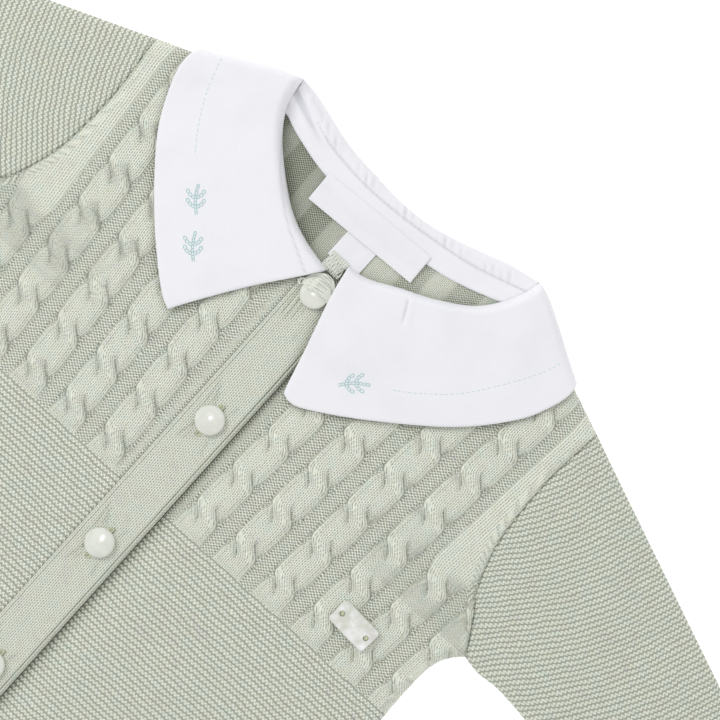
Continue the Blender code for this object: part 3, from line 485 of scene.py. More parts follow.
def numbers(rows, columns, first=0, closed=False):
    """Point numbers of a grid, with the first column again at the end of a closed one."""
    k = np.arange(rows * columns).reshape(rows, columns) + first
    return np.hstack([k, k[:, :1]]) if closed else k


def quads_of(k):
    return np.stack([k[:-1, :-1], k[:-1, 1:], k[1:, 1:], k[1:, :-1]], axis=-1).reshape(-1, 4)


def strip(row_a, keys_a, row_b, keys_b):
    """Triangles between two rows of points, walked by their keys."""
    faces = []
    i = j = 0
    while i < len(row_a) - 1 or j < len(row_b) - 1:
        a_left, b_left = i < len(row_a) - 1, j < len(row_b) - 1
        if a_left and (not b_left or keys_a[i + 1] <= keys_b[j + 1]):
            faces.append((row_a[i], row_a[i + 1], row_b[j]))
            i += 1
        else:
            faces.append((row_a[i], row_b[j + 1], row_b[j]))
            j += 1
    return faces


def slab(face, lining, picked_rows, picked_columns, closed=False, open_above=0):
    """Points, quads and triangles of a closed wall from a fine face and a coarser lining.

    A closed wall is a tube, with edges at its ends alone. The first column has no edge above
    the row open_above, where a mirrored half goes on.
    """
    rows, columns = face.shape[:2]
    k = numbers(rows, columns, 0, closed)
    m = numbers(*lining.shape[:2], rows * columns, closed)
    across = np.arange(k.shape[1])
    picked_across = np.append(picked_columns, columns) if closed else picked_columns
    triangles = strip(k[0], across, m[0], picked_across)
    triangles += strip(k[-1], across, m[-1], picked_across)
    if not closed:
        down, picked_down = np.arange(rows), np.asarray(picked_rows)
        keep = picked_down >= open_above
        triangles += strip(k[open_above:, 0], down[open_above:], m[keep, 0], picked_down[keep])
        triangles += strip(k[:, -1], down, m[:, -1], picked_down)
    points = np.vstack([face.reshape(-1, 3), lining.reshape(-1, 3)])
    return points, (np.vstack([quads_of(k), quads_of(m)]), np.array(triangles).reshape(-1, 3))


def picks(count, step):
    """Every so many rows of a fine grid, with the ends and the rows beside them."""
    chosen = set(range(0, count, step)) | {1, 2, count - 3, count - 2, count - 1}
    return np.array(sorted(k for k in chosen if 0 <= k < count))


def packed(*columns):
    """Numbers of the points of a grid side by side, as an attribute holds them."""
    return np.stack(np.broadcast_arrays(*columns), axis=-1).reshape(-1, len(columns))


def make_mesh(name, points, polygons, materials, attributes=None, sharp=50.0, faces_of=None,
              weld=False):
    """A Blender object from points in millimetres, riding on the garment."""
    mesh = bpy.data.meshes.new(name)
    world = np.asarray(points, float) * MM
    world[:, 1] -= CENTRE_Y * MM
    sizes = np.concatenate([np.full(len(p), p.shape[1]) for p in polygons if len(p)])
    corners = np.concatenate([p.ravel() for p in polygons if len(p)])
    mesh.vertices.add(len(world))
    mesh.vertices.foreach_set("co", world.astype(np.float32).ravel())
    mesh.loops.add(len(corners))
    mesh.loops.foreach_set("vertex_index", corners.astype(np.int32))
    mesh.polygons.add(len(sizes))
    starts = np.concatenate([[0], np.cumsum(sizes)[:-1]])
    mesh.polygons.foreach_set("loop_start", starts.astype(np.int32))
    for material in materials:
        mesh.materials.append(material)
    if faces_of is not None:
        mesh.polygons.foreach_set("material_index", faces_of.astype(np.int32))
    mesh.update(calc_edges=True)
    for key, values in (attributes or {}).items():
        layer = mesh.attributes.new(key, "FLOAT_VECTOR", "POINT")
        layer.data.foreach_set("vector", np.asarray(values, np.float32).ravel())
    work = bmesh.new()
    work.from_mesh(mesh)
    if weld:
        centre = [vert for vert in work.verts if abs(vert.co.x) < 1e-7]
        bmesh.ops.remove_doubles(work, verts=centre, dist=1e-6)
    bmesh.ops.recalc_face_normals(work, faces=work.faces)
    if work.calc_volume(signed=True) < 0:
        bmesh.ops.reverse_faces(work, faces=work.faces)
    work.to_mesh(mesh)
    work.free()
    mesh.shade_smooth()
    mesh.set_sharp_from_angle(angle=math.radians(sharp))
    piece = bpy.data.objects.new(name, mesh)
    bpy.context.scene.collection.objects.link(piece)
    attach(piece, "root")
    return piece


def caps(k, first_end, last_end):
    """Triangles that close a tube of rings at both ends."""
    return np.array([(first_end, b, a) for a, b in zip(k[0], k[0, 1:])]
                    + [(last_end, a, b) for a, b in zip(k[-1], k[-1, 1:])])


def unit(vectors):
    return vectors / np.maximum(np.linalg.norm(vectors, axis=-1, keepdims=True), 1e-9)


def thread(route, radius, sides=6):
    """Points, quads and triangles of a short round thread along a route, narrower at its ends."""
    forward = unit(np.gradient(route, axis=0))
    across = unit(np.cross(forward, (0, 0, 1.0)))
    upward = np.cross(across, forward)
    angles = 2 * np.pi * np.arange(sides)[:, None] / sides
    width = np.full((len(route), 1, 1), radius)
    width[[0, -1]] *= THREAD_END
    rings = route[:, None] + width * (np.cos(angles) * across[:, None]
                                      + np.sin(angles) * upward[:, None])
    points = np.vstack([rings.reshape(-1, 3), route[:1], route[-1:]])
    k = numbers(len(route), sides, closed=True)
    return points, (quads_of(k), caps(k, len(points) - 2, len(points) - 1))


def sew(name, threads, material, stands_for=None):
    """Threads joined to one piece, which may stand for a solid."""
    firsts = np.cumsum([0] + [len(points) for points, _ in threads])
    polygons = [np.vstack([faces[kind] + first for (_, faces), first in zip(threads, firsts)])
                for kind in (0, 1)]
    points = np.vstack([points for points, _ in threads])
    piece = make_mesh(name, points, polygons, [material], sharp=SHARP_SMALL)
    if stands_for:
        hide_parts(stands_for)


# ---------------------------------------------------------------- shader maths

FULL_TURN = 2 * math.pi


def both_forms(operation):
    """An operator of a value, and its reflected form for a number on its left."""
    def plain(self, other):
        return self.math(operation, self, other)

    def reflected(self, other):
        return self.math(operation, other, self)

    return plain, reflected


class Value:
    """A shader socket that takes part in Python expressions."""

    def __init__(self, tree, socket):
        self.tree = tree
        self.socket = socket

    def math(self, operation, *items):
        node = self.tree.nodes.new("ShaderNodeMath")
        node.operation = operation
        for slot, item in zip(node.inputs, items):
            if isinstance(item, Value):
                self.tree.links.new(item.socket, slot)
            else:
                slot.default_value = item
        return Value(self.tree, node.outputs[0])

    __add__, __radd__ = both_forms("ADD")
    __sub__, __rsub__ = both_forms("SUBTRACT")
    __mul__, __rmul__ = both_forms("MULTIPLY")
    __truediv__, __rtruediv__ = both_forms("DIVIDE")
    __pow__, __rpow__ = both_forms("POWER")

    def __abs__(self):
        return self.math("ABSOLUTE", self)

    def part(self):
        return self.math("FRACT", self)

    def wave(self):
        """Cosine of so many full turns."""
        return self.math("COSINE", self * FULL_TURN)

    def turn(self, other):
        """Angle of the point (other, self), as a share of a turn from -0.5 to 0.5."""
        return self.math("ARCTAN2", self, other) / FULL_TURN

    def most(self, other):
        return self.math("MINIMUM", self, other)

    def clamped(self):
        return self.math("MAXIMUM", self, 0.0).most(1.0)


class Surface:
    """A new material with a Principled shader, and helpers to build its nodes."""

    def __init__(self, name, **constants):
        self.material = bpy.data.materials.new(name)
        self.material.use_nodes = True
        self.tree = self.material.node_tree
        self.shader = self.tree.nodes["Principled BSDF"]
        for key, value in constants.items():
            self.feed(key.replace("_", " "), value)

    def plug(self, socket, item):
        """Give a socket a link from a value or an output, or a constant."""
        source = getattr(item, "socket", item)
        if isinstance(source, bpy.types.NodeSocket):
            self.tree.links.new(source, socket)
        else:
            socket.default_value = item

    def feed(self, name, item):
        self.plug(self.shader.inputs[name], item)

    def node(self, kind, settings=None, inputs=None):
        """A node of a type, with its settings, and values or links for its sockets."""
        made = self.tree.nodes.new(kind)
        for key, value in (settings or {}).items():
            if key == "stops":
                self.set_stops(made.color_ramp, value)
            else:
                setattr(made, key, value)
        for key, value in (inputs or {}).items():
            self.plug(made.inputs[key], value)
        return made

    @staticmethod
    def set_stops(ramp, stops):
        while len(ramp.elements) < len(stops):
            ramp.elements.new(0.5)
        for element, (position, colour) in zip(ramp.elements, stops):
            element.position = position
            element.color = colour

    def value(self, socket):
        return Value(self.tree, socket)

    def attribute(self, name):
        """The three numbers of a point attribute."""
        read = self.node("ShaderNodeAttribute", {"attribute_name": name})
        split = self.node("ShaderNodeSeparateXYZ", None, {"Vector": read.outputs["Vector"]})
        return [self.value(output) for output in split.outputs]

    def place(self):
        """Position on the object, in metres."""
        return self.node("ShaderNodeTexCoord").outputs["Object"]

    def noise(self, scale, detail, roughness=0.5):
        made = self.node("ShaderNodeTexNoise", None, {
            "Vector": self.place(), "Scale": scale, "Detail": detail, "Roughness": roughness})
        return self.value(made.outputs["Fac"])

    def mix(self, share, a, b):
        """A colour between two colours or colour sockets; these sockets go by number."""
        made = self.node("ShaderNodeMix", {"data_type": "RGBA"}, {0: share, 6: a, 7: b})
        return made.outputs[2]

    def bump(self, height, distance, strength):
        made = self.node("ShaderNodeBump", None, {
            "Height": height, "Distance": distance, "Strength": strength})
        self.feed("Normal", made.outputs["Normal"])


# ---------------------------------------------------------------- surfaces

YARN_MARL = 240.0               # scales of noise, in cycles a metre
YARN_WOBBLE = 420.0
YARN_FUZZ = 1400.0
YARN_FLECKS = 1700.0
SLUBS_AND_FOLDS = 55.0
GRAIN = 2200.0
TWIST = 1800.0
SWIRL = 160.0
TINT = 110.0
PATCHES = 260.0
GAP_SHADE = 0.61                # painted shade in the gaps between stitches, for plain knit
BLEND_SHADE = (0.575, 0.28)     # for plain stitches beside purl ones, and how much more for purl
RIDGE_SHADE = 0.84              # for garter ridges
# how much the painted shade that the points carry darkens the knit
TONE_SHADE = 0.55
WEAVE_RELIEF = 0.00022
THREAD_RELIEF = 0.0001
PEARL_RELIEF = 0.00006


def plain_stitch(u, v):
    """Height of the V columns of plain knit, from 0 to 1, in wales and rows."""
    across = abs(u.part() - 0.5) * 2.0
    leg = abs(across * 2.0 - 1.0)
    dots = (v + across * 0.5).wave() * 0.5 + 0.5
    strand = (v - across * 0.85).wave() * 0.5 + 0.5
    return (1.0 - leg ** 1.8 * (dots ** 1.3 * 0.6 + 0.4)) * (1.0 - strand ** 3.0 * 0.25)


def purl_stitch(u, v):
    """Height of purl bumps: staggered rows with dark holes between them, from 0 to 1."""
    wave = u.wave()
    holes = wave * v.wave()
    lines = ((v + wave * 0.2) * 2.0).wave() * 0.2
    return (0.66 - holes * 0.72 - lines).clamped()


def ridge_stitch(u, v):
    """Height of garter ridges: arches above and bowls below, and a furrow between ridges."""
    wave = u.wave() * 0.5
    place = v.part()
    below, above = (wave + 0.5) ** 2.2 * 0.42, (0.5 - wave) ** 2.2 * 0.42
    room = (place - below).most(1.0 - place - above)
    furrow = (1.0 - place.most(1.0 - place) * 9.5).clamped() * (wave * 0.3 + 0.54)
    return ((room * 4.4 + 0.04).clamped() * 0.64 + 0.36) * (1.0 - furrow)


# Stitches of a knit, its relief against the yarn's, how much it lies in the shade, its contrast,
# and whether it counts its wales by the attribute that a coarse grid carries well
KNITS = {
    "cabled_knit": ((plain_stitch, purl_stitch), 1.0, 0.0, 1.0, False),
    "garter_knit": ((ridge_stitch,), 1.2, 0.075, 1.0, False),
    "inside_knit": ((plain_stitch, purl_stitch), 0.8, 0.06, 0.9, True),
    "plain_knit": ((plain_stitch,), 0.8, 0.1, 1.0, False),
    "back_cabled_knit": ((plain_stitch, purl_stitch), 1.0, 0.0, 1.0, True),
}


def linear(red, green, blue):
    """Linear colour from values of 0 to 255 as a screen shows them."""
    parts = [c / 255 for c in (red, green, blue)]
    return tuple(c / 12.92 if c <= 0.04045 else ((c + 0.055) / 1.055) ** 2.4 for c in parts)


def opaque(colour):
    return tuple(colour) + (1.0,)


def knit_surface(name, yarn):
    """Marled yarn in one stitch, or in two that the second number of the points' shade attribute
    blends; painted shade darkens its gaps and creases.
    """
    stitches, relief, depth, contrast, straight = KNITS[name]
    surface = Surface(name, Roughness=0.92, Sheen_Weight=0.2, Sheen_Roughness=0.5)
    # The points' first number is painted shade, their second the kind of stitch.
    shade, kind, _ = surface.attribute("tone")
    fuzz = surface.noise(YARN_FUZZ, 3.0, 0.6)
    wobble = (surface.noise(YARN_WOBBLE, 2.0) - 0.5) * 0.8
    heights = []
    for pattern in stitches:
        if pattern is ridge_stitch:
            u, v, _ = surface.attribute("ridge")
        elif straight:
            u, v, _ = surface.attribute("wales")
        else:
            east, north, v = surface.attribute("stitch")
            u = north.turn(east)
        heights.append(pattern(u + wobble * 0.4, v + wobble * 0.8))
    height = heights[0]
    gap = RIDGE_SHADE if ridge_stitch in stitches else GAP_SHADE
    if len(heights) > 1:
        height = heights[0] * (1.0 - kind) + heights[1] * kind
        gap = kind * BLEND_SHADE[1] + BLEND_SHADE[0]
    marl = surface.node("ShaderNodeValToRGB", {"stops": (
        (0.34, opaque(yarn.cool)), (0.47, opaque(yarn.light)),
        (0.56, opaque(yarn.warm)), (0.68, opaque(yarn.grey)))},
        {"Fac": surface.noise(YARN_MARL, 4.0, 0.6)})
    flecks = surface.mix((surface.noise(YARN_FLECKS, 1.0) - 0.48).clamped() * 2.0,
                         marl.outputs["Color"], opaque(yarn.fleck))
    # Painted shade: darker in the gaps between stitches, where the points carry shade, and all over
    # a knit by how much it lies in the shade.
    gaps = (1.0 - height) ** 1.4 * (gap * contrast)
    dark = (gaps + shade * TONE_SHADE + depth).clamped()
    surface.feed("Base Color", surface.mix(dark, flecks, opaque(yarn.shadow)))
    surface.bump(height + fuzz * 0.25, yarn.relief * relief, 0.85)
    return surface.material


def woven_surface(name, colour, shadow, pitch):
    """Fine plain-woven cotton with random grain and slubs, and painted shade in its creases and
    broad soft folds.
    """
    surface = Surface(name, Roughness=0.85, Sheen_Weight=0.1, Sheen_Roughness=0.5)
    # The points' first number is painted shade in the cloth's creases.
    shade = surface.attribute("tone")[0]
    u, v, _ = surface.attribute("stitch")
    weave = (u * (1 / pitch)).wave() * (v * (1 / pitch)).wave()
    slub_and_fold = surface.noise(SLUBS_AND_FOLDS, 3.0, 0.55)
    grain = surface.noise(GRAIN, 2.0, 0.6)
    # Painted shade: in creases from the points' shade, in broad soft folds from the slow noise,
    # with random grain besides.
    dark = (shade + (slub_and_fold - 0.46) * 0.32 + (grain - 0.5) * 0.16).clamped()
    surface.feed("Base Color", surface.mix(dark, opaque(colour), opaque(shadow)))
    surface.bump(weave * 0.10 + grain * 0.35 + slub_and_fold * 0.9, WEAVE_RELIEF, 0.7)
    return surface.material


def thread_surface(name, colour):
    """Twisted thread, darker in its twists."""
    surface = Surface(name, Roughness=0.7, Sheen_Weight=0.3)
    twist = surface.noise(TWIST, 2.0)
    darker = opaque(0.72 * part for part in colour)
    surface.feed("Base Color", surface.mix((twist - 0.35).clamped(), opaque(colour), darker))
    surface.bump(twist, THREAD_RELIEF, 0.6)
    return surface.material


def pearl_surface(name, pearl, white, patch_and_facet_share):
    """Mother of pearl under a gloss: over a main colour, painted sheen in swirls and patches that
    are partly nacre and partly painted light on facets.
    """
    surface = Surface(name, Roughness=0.22, Coat_Weight=0.7, Coat_Roughness=0.06, IOR=1.55)
    swirl = surface.noise(SWIRL, 3.0, 0.55)
    bands = (swirl * (24.0 / FULL_TURN)).wave() * 0.5 + 0.5
    sheen_tints = surface.mix(surface.noise(TINT, 1.0), opaque(pearl.green), opaque(pearl.rose))
    patches = surface.node("ShaderNodeTexVoronoi", {"feature": "F1"}, {
        "Vector": surface.place(), "Scale": PATCHES, "Randomness": 1.0})
    patches_and_facet_light = surface.value(patches.outputs["Distance"])
    # Painted sheen in the swirl bands, and painted facet light together with nacre patches in the
    # Voronoi cells.
    share = (bands * 0.35 + patches_and_facet_light * patch_and_facet_share).clamped()
    surface.feed("Base Color", surface.mix(share, opaque(white), sheen_tints))
    surface.bump(bands, PEARL_RELIEF, 0.5)
    return surface.material


# ---------------------------------------------------------------- sizes and colours

def length(name, description, size, low, high):
    """A length that a user would change, in millimetres here."""
    return bpy.props.FloatProperty(name=name, description=description, default=size * MM,
                                   min=low * MM, max=high * MM, unit="LENGTH", precision=5)


def colour(name, description, *screen):
    """A colour that a user would change, from its screen values of 0 to 255."""
    return bpy.props.FloatVectorProperty(name=name, description=description, subtype="COLOR",
                                         default=linear(*screen), min=0.0, max=1.0)


def power(name, description, watts):
    return bpy.props.FloatProperty(name=name, description=description, default=watts, min=0.0,
                                   unit="POWER")


class YarnSettings(bpy.types.PropertyGroup):
    """Stitches and colours of the knit."""

    wale: length("Stitch width", "Width of a column of stitches", 1.46, 0.5, 6)
    row: length("Row height", "Height of a row of plain stitches", 1.07, 0.4, 5)
    ridge: length("Ridge pitch", "Distance between two garter ridges", 1.8, 0.5, 6)
    bump: length("Ridge bump", "Width of a bump of a garter ridge", 1.35, 0.5, 6)
    relief: length("Yarn relief", "How far a stitch stands out", 0.55, 0, 2)
    light: colour("Light yarn", "Palest colour of the marl", 237, 241, 227)
    cool: colour("Aqua yarn", "Cool colour of the marl", 231, 240, 226)
    warm: colour("Cream yarn", "Warm colour of the marl", 237, 240, 221)
    grey: colour("Grey yarn", "Greyest colour of the marl", 231, 232, 223)
    fleck: colour("Fleck", "Colour of the fine flecks", 247, 250, 241)
    # Colour of the painted shade: between stitches, in creases and under the collar.
    shadow: colour("Between stitches", "Colour of the gaps between stitches", 96, 103, 82)


class CottonSettings(bpy.types.PropertyGroup):
    """Woven cotton and its embroidery."""

    pitch: length("Weave pitch", "Distance between threads of the weave", 0.33, 0.1, 2)
    white: colour("Cotton", "Colour of the collar", 237, 237, 241)
    # Colour of the painted shade in the collar's creases and folds.
    shadow: colour("Cotton in folds", "Colour of the collar in its folds", 186, 186, 196)
    thread: colour("Embroidery thread", "Colour of the stitching", 180, 213, 214)
    buttonhole: colour("Buttonhole thread", "Colour of the buttonholes", 205, 208, 172)
    loop: colour("Loop yarn", "Colour of the neck loop", 229, 232, 222)
    dash: length("Stitch length", "Length of a running stitch", 1.1, 0.5, 8)
    space: length("Stitch gap", "Gap between two running stitches", 0.55, 0.2, 8)


class PearlSettings(bpy.types.PropertyGroup):
    """Mother of pearl."""

    white: colour("Pearl", "Main colour of the pearl", 226, 229, 220)
    plate: colour("Pearl plate", "Main colour of the pearl tab", 246, 246, 247)
    green: colour("Green sheen", "Cool tint of the pearl", 196, 208, 190)
    rose: colour("Warm sheen", "Warm tint of the pearl", 219, 211, 208)


class StageSettings(bpy.types.PropertyGroup):
    """Floor and light."""

    floor: bpy.props.FloatVectorProperty(
        name="Floor", description="Colour of the floor", subtype="COLOR",
        default=(0.97, 0.97, 0.97), min=0.0, max=1.0)
    key: power("Key light", "Strength of the large light at the upper left", 5.5)
    fill: power("Fill light", "Strength of the light from the other side", 1.0)
    spark: power("Spark light", "Strength of the small light that the pearl reflects", 1.5)
    sky: bpy.props.FloatProperty(
        name="Sky", description="Strength of the even light from all round", default=0.63,
        min=0.0, max=4.0, subtype="FACTOR")
    view_width: bpy.props.FloatProperty(
        name="View width", description="Width that the camera sees at the garment",
        default=0.225, min=0.01, unit="LENGTH")


# ---------------------------------------------------------------- fronts and back

# Grids of the fronts and of the back: rows of the yoke, pitch below it, columns
FRONT_GRID = (218, 2.3, 208)
BACK_GRID = (110, 2.6, 84)
FRONT_STEP = 6                  # the inside takes every so many rows and columns
FINE_INSIDE = 1.25              # how much finer the stitches look on the inside
YOKE_FADE = 2.5                 # height above the yoke's end in which the cables rise
TOP_CURVES = {
    "front": np.vstack([smooth(FRONT_NECK), [SHOULDER_TIP]]),
    "back": np.vstack([smooth(BACK_NECK), [SHOULDER_TIP]]),
}
TOP_STEPS = (0.0, 0.0012, 0.0045, 0.0095, 0.016)     # close rows at the top, then even ones
EVEN_STEPS = 0.022
CROTCH_STEPS = (0.15, 0.4, 0.8, 1.4, 2.6, 4.2, 6.5, 9.0)
# Shade beside the band: strength and width, where the front lies below it and where it is sewn on
BAND_SHADES = {1: (0.6, 2.6), -1: (0.28, 0.7)}
SEAM_SINK = (0.55, 0.8)         # depth and width of the cloth drawn in at the armhole
SEAM_SHADE = (0.85, 0.55)        # strength and width of the painted shade in its groove
CONTACT = (0.42, 1.7)           # shade of the collar on the fronts, and its reach
RIB_HEIGHT = 0.35
# Wales of the back's inside that stand up as ribs: rows of (from, to) across
INSIDE_RIBS = (
    (-46.8, -41.8), (-30.8, -24.8), (-12.8, -6.8), (4.2, 13.2), (22.0, 28.1), (38.0, 44.0),
)
# Shade of the inside: lightest, how much darker to the left, between ribs and beside the collar
INSIDE_SHADES = (0.08, 0.7, 0.07, 0.2)
INSIDE_SHADE_START = 14.0
INSIDE_SHADE_WIDTH = 42.0


def outer_x(y):
    armhole = at(ARMHOLE_CURVE, y, 1, 0)
    return np.where(y >= UNDERARM[1], armhole, at(SIDE_CURVE, y, 1, 0))


def half_plan(centre, centre_end, top_curve, yoke_rows, body_pitch, middle):
    """Plan of a right half: x and y of its rows and columns, and the row where the yoke ends."""
    insets = np.array(FOLD_INSETS)
    inner = np.linspace(0, 1, middle)[1:-1]
    share = np.concatenate([np.zeros(len(insets)), inner, np.ones(len(insets))])
    offset = np.concatenate([insets, insets[-1] * (1 - 2 * inner), -insets[::-1]])

    def x_at(y):
        left = np.where(y >= centre_end, centre, at(INSEAM_CURVE, y, 1, 0))
        return left + (outer_x(y) - left) * share + offset

    y_top = np.full(share.shape, 25.0)
    for _ in range(40):
        y_top = at(top_curve, x_at(y_top), 0, 1)
    steps = np.concatenate([TOP_STEPS, np.linspace(EVEN_STEPS, 1.0, yoke_rows)])
    yoke_y = y_top + (YOKE_END - y_top) * steps[:, None]
    body = np.arange(YOKE_END - body_pitch, CROTCH + 1.0, -body_pitch)
    crotch = CROTCH - np.array((0.0,) + CROTCH_STEPS)
    legs = np.arange(crotch[-1] - body_pitch, HEM + 0.6 * body_pitch, -body_pitch)
    heights = np.concatenate([body, crotch, legs, [HEM]])
    y = np.vstack([yoke_y, np.repeat(heights[:, None], len(share), axis=1)])
    return x_at(y), y, len(steps) - 1


def knit_faces(x, yoke_end):
    """Material numbers of the outer faces: 0 in the cabled yoke and 1 below it."""
    in_yoke = np.arange(len(x) - 1) < yoke_end
    return np.where(np.repeat(in_yoke, x.shape[1] - 1), 0, 1)


def stitch_of(u, v):
    """The wale coordinate as a point on a circle, so that it may jump by whole wales."""
    return packed(np.cos(2 * np.pi * u), np.sin(2 * np.pi * u), v)


def inside_wales(x, y, yarn):
    """Wales and rows of the inside as plain numbers."""
    return packed(FINE_INSIDE * abs(x) / (yarn.wale / MM), FINE_INSIDE * y / (yarn.row / MM), 0.0)


def garter_rows(x, y, yarn):
    """Bumps and ridges of the body, with the sway of hand-laid rows."""
    sway = 0.3 * waver(x, y, 21.0, 2.0) + 0.22 * waver(x, y, 5.0, 5.0)
    return packed(x / (yarn.bump / MM), (y + sway) / (yarn.ridge / MM), 0.0)


def beside(curves, x, y, reach):
    """1 on the nearest of some curves, fading to 0 within a few times the reach."""
    return np.maximum.reduce([bell(nearest(smooth(curve, 4), x, y)[0] / reach)
                              for curve in curves])


def seam_shade(distance, along_it):
    """Painted shade in the groove beside the armhole's seam, uneven from stitch to stitch."""
    strength, width = SEAM_SHADE
    return strength * bell(distance / width) * (0.75 + 0.25 * np.sin(4.0 * along_it))


def seam_sink(distance):
    depth, width = SEAM_SINK
    return depth * bell(distance / width)


def plan_area(x, y):
    """Area of a grid in plan, in square millimetres."""
    ax, ay = x[1:, 1:] - x[:-1, :-1], y[1:, 1:] - y[:-1, :-1]
    bx, by = x[1:, :-1] - x[:-1, 1:], y[1:, :-1] - y[:-1, 1:]
    return float(abs(ax * by - ay * bx).sum() / 2)


def declare(node, flat, area):
    """Hide the solid that the piece stands for; its flat size and area are worked out but not used.
    """
    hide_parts(node)
    width, length = (size * MM for size in flat)
    min(area * MM * MM, width * length)


def front_layer(x, y, dips, depth, raised=0.0):
    """A layer of a front, whose centre edge may dip below the button band."""
    layer = body_points(x, y, True, depth, raised)
    from_edge = (abs(x) - FRONT_EDGE) / DIP_WIDTH
    layer[..., 2] -= dips * (1 - ease(from_edge)) * fold_shape(x, y)[0]
    return layer


def make_front(name, side, dips, yarn, materials):
    """A front with its cabled yoke; side is 1 for the right one, which dips below the band."""
    x, y, yoke_end = half_plan(FRONT_EDGE, FRONT_CROTCH, TOP_CURVES["front"], *FRONT_GRID)
    x = side * x
    raised, u, kind, shade, moved = yoke_stitches(x, y, yarn.wale / MM)
    fade = ease((y - YOKE_END) / YOKE_FADE)
    rows = np.union1d(picks(len(x), FRONT_STEP), [yoke_end])
    columns = picks(x.shape[1], FRONT_STEP)
    ix, iy = x[np.ix_(rows, columns)], y[np.ix_(rows, columns)]
    face, lining = front_layer(x, y, dips, 0.0, raised * fade), front_layer(ix, iy, dips, KNIT)
    strength, width = BAND_SHADES[side]
    beside_band = strength * bell((abs(x) - FRONT_EDGE) / width) * (y > CROTCH)
    from_seam = np.where(y > UNDERARM[1], outer_x(y) - abs(x), np.inf)
    face[..., 2] -= seam_sink(from_seam)
    collar = COLLAR_FRONTS["collar_right" if side > 0 else "collar_left"]
    contact = CONTACT[0] * beside((collar["outer"], collar["front"]), x, y, CONTACT[1])
    # Painted shade of the cable creases, beside the band, in the armhole's seam and under the
    # collar's edges.
    dark = np.maximum.reduce([shade * fade, beside_band, seam_shade(from_seam, y), contact])
    points, polygons = slab(face, lining, rows, columns)
    quads, triangles = polygons
    outer = knit_faces(x, yoke_end)
    faces_of = np.concatenate([outer, np.full(len(quads) - len(outer), 2),
                               np.full(len(triangles), 1)])
    stitch = stitch_of(u, (y + moved) / (yarn.row / MM))
    inside = inside_wales(ix, iy, yarn)
    piece = make_mesh(f"{name}_knit", points, polygons, materials, {
        "stitch": np.vstack([stitch, 0 * inside]),
        "wales": np.vstack([0 * stitch, inside]),
        "ridge": np.vstack([garter_rows(x, y, yarn), garter_rows(ix, iy, yarn)]),
        "tone": np.vstack([packed(dark, kind, 0.0), packed(0 * ix, 1.0, 0.0)])},
        faces_of=faces_of)
    flat = (abs(x).max() - FRONT_EDGE, y.max() - HEM)
    declare(name, flat, plan_area(x, y))


def inside_ribs(x):
    """1 on the ribs of the back's inside and 0 on the smooth bands between them."""
    rib = np.zeros(np.shape(x))
    for low, high in INSIDE_RIBS:
        middle, half = (low + high) / 2, (high - low) / 2
        rib = np.maximum(rib, ease((half + 0.6 - abs(x - middle)) / 1.2))
    return rib


def make_back(yarn, materials):
    """The back in two mirrored halves; its inside shows in the neck."""
    x, y, yoke_end = half_plan(0.0, CROTCH, TOP_CURVES["back"], *BACK_GRID)
    crotch_row = int(np.argmax(y[:, 0] <= CROTCH + 0.01))
    ribs = inside_ribs(x)
    face, lining = body_points(x, y, False), body_points(x, y, False, KNIT, RIB_HEIGHT * ribs)
    points, (quads, triangles) = slab(face, lining, np.arange(len(x)), np.arange(x.shape[1]),
                                      open_above=crotch_row)
    _, u, kind, creased, moved = yoke_stitches(x, y, yarn.wale / MM)
    # Painted shade of the cables' creases, fainter on the back.
    creased = 0.9 * creased * ease((y - YOKE_END) / YOKE_FADE)
    wales = np.vstack([packed(u, (y + moved) / (yarn.row / MM), 0.0), inside_wales(x, y, yarn)])
    # Painted shade of the neck's inside: darker to the left, between its ribs and beside the
    # collar.
    lightest, to_left, between, by_collar = INSIDE_SHADES
    painted_shades = []
    for side, collar in ((1, "collar_right"), (-1, "collar_left")):
        leftward = ease((INSIDE_SHADE_START - side * x) / INSIDE_SHADE_WIDTH)
        shade = lightest + to_left * leftward + between * (1 - ribs)
        shade = shade + by_collar * beside((COLLAR_FRONTS[collar]["neck"],), side * x, y, 3.0)
        painted_shades += [packed(creased, kind, 0.0), packed(shade, 1 - ease(ribs * 2), 0.0)]
    half = knit_faces(x, yoke_end)
    half = np.concatenate([half, np.full(len(half), 2)])
    ridge = garter_rows(x, y, yarn)
    count = len(points)
    triangles = np.vstack([triangles, triangles[:, ::-1] + count])
    piece = make_mesh(
        "back_knit", np.vstack([points, points * (-1, 1, 1)]),
        (np.vstack([quads, quads[:, ::-1] + count]), triangles), materials,
        {"wales": np.vstack([wales, wales]),
         "ridge": np.vstack([ridge, ridge, ridge * (-1, 1, 1), ridge * (-1, 1, 1)]),
         "tone": np.vstack(painted_shades)},
        faces_of=np.concatenate([half, half, np.full(len(triangles), 1)]), weld=True)
    declare("back", (2 * abs(x).max(), y.max() - HEM), 2 * plan_area(x, y))


# ---------------------------------------------------------------- sleeves

SLEEVE_COLUMNS = (0.045, 0.955, 66)
SLEEVE_ROWS = ((0.0, 0.002, 0.004, 0.007), (0.011, 1, 102))
SLEEVE_STEPS = (4, 3)
SLANT_WIDTH = 50.0              # across the sleeve, in which its rows slant beside the armhole
SLANT_LENGTH = 110.0
ROW_STRETCH = 1.07
SLEEVE_ALLOWANCES = (4.0, 26.0)     # for the folds, and for the length of the underside


def sleeve_plan(ring, share):
    """Plan positions: ring 0 is the armhole, 1 the cuff; share 0 is the top fold."""
    ring, share = ring[:, None, None], share[None, :, None]
    armhole = along(ARMHOLE_CURVE, share[..., 0])
    cuff = CUFF_TOP + share * (CUFF_BOTTOM - CUFF_TOP)
    top = along(SLEEVE_TOP_CURVE, ring[..., 0])
    under = along(SLEEVE_LOWER_CURVE, 1 - ring[..., 0])
    ends = (1 - ring) * armhole + ring * cuff
    folds = (1 - share) * top + share * under
    corners = ((1 - ring) * ((1 - share) * np.array(SHOULDER_TIP) + share * np.array(UNDERARM))
               + ring * ((1 - share) * CUFF_TOP + share * CUFF_BOTTOM))
    return ends + folds - corners


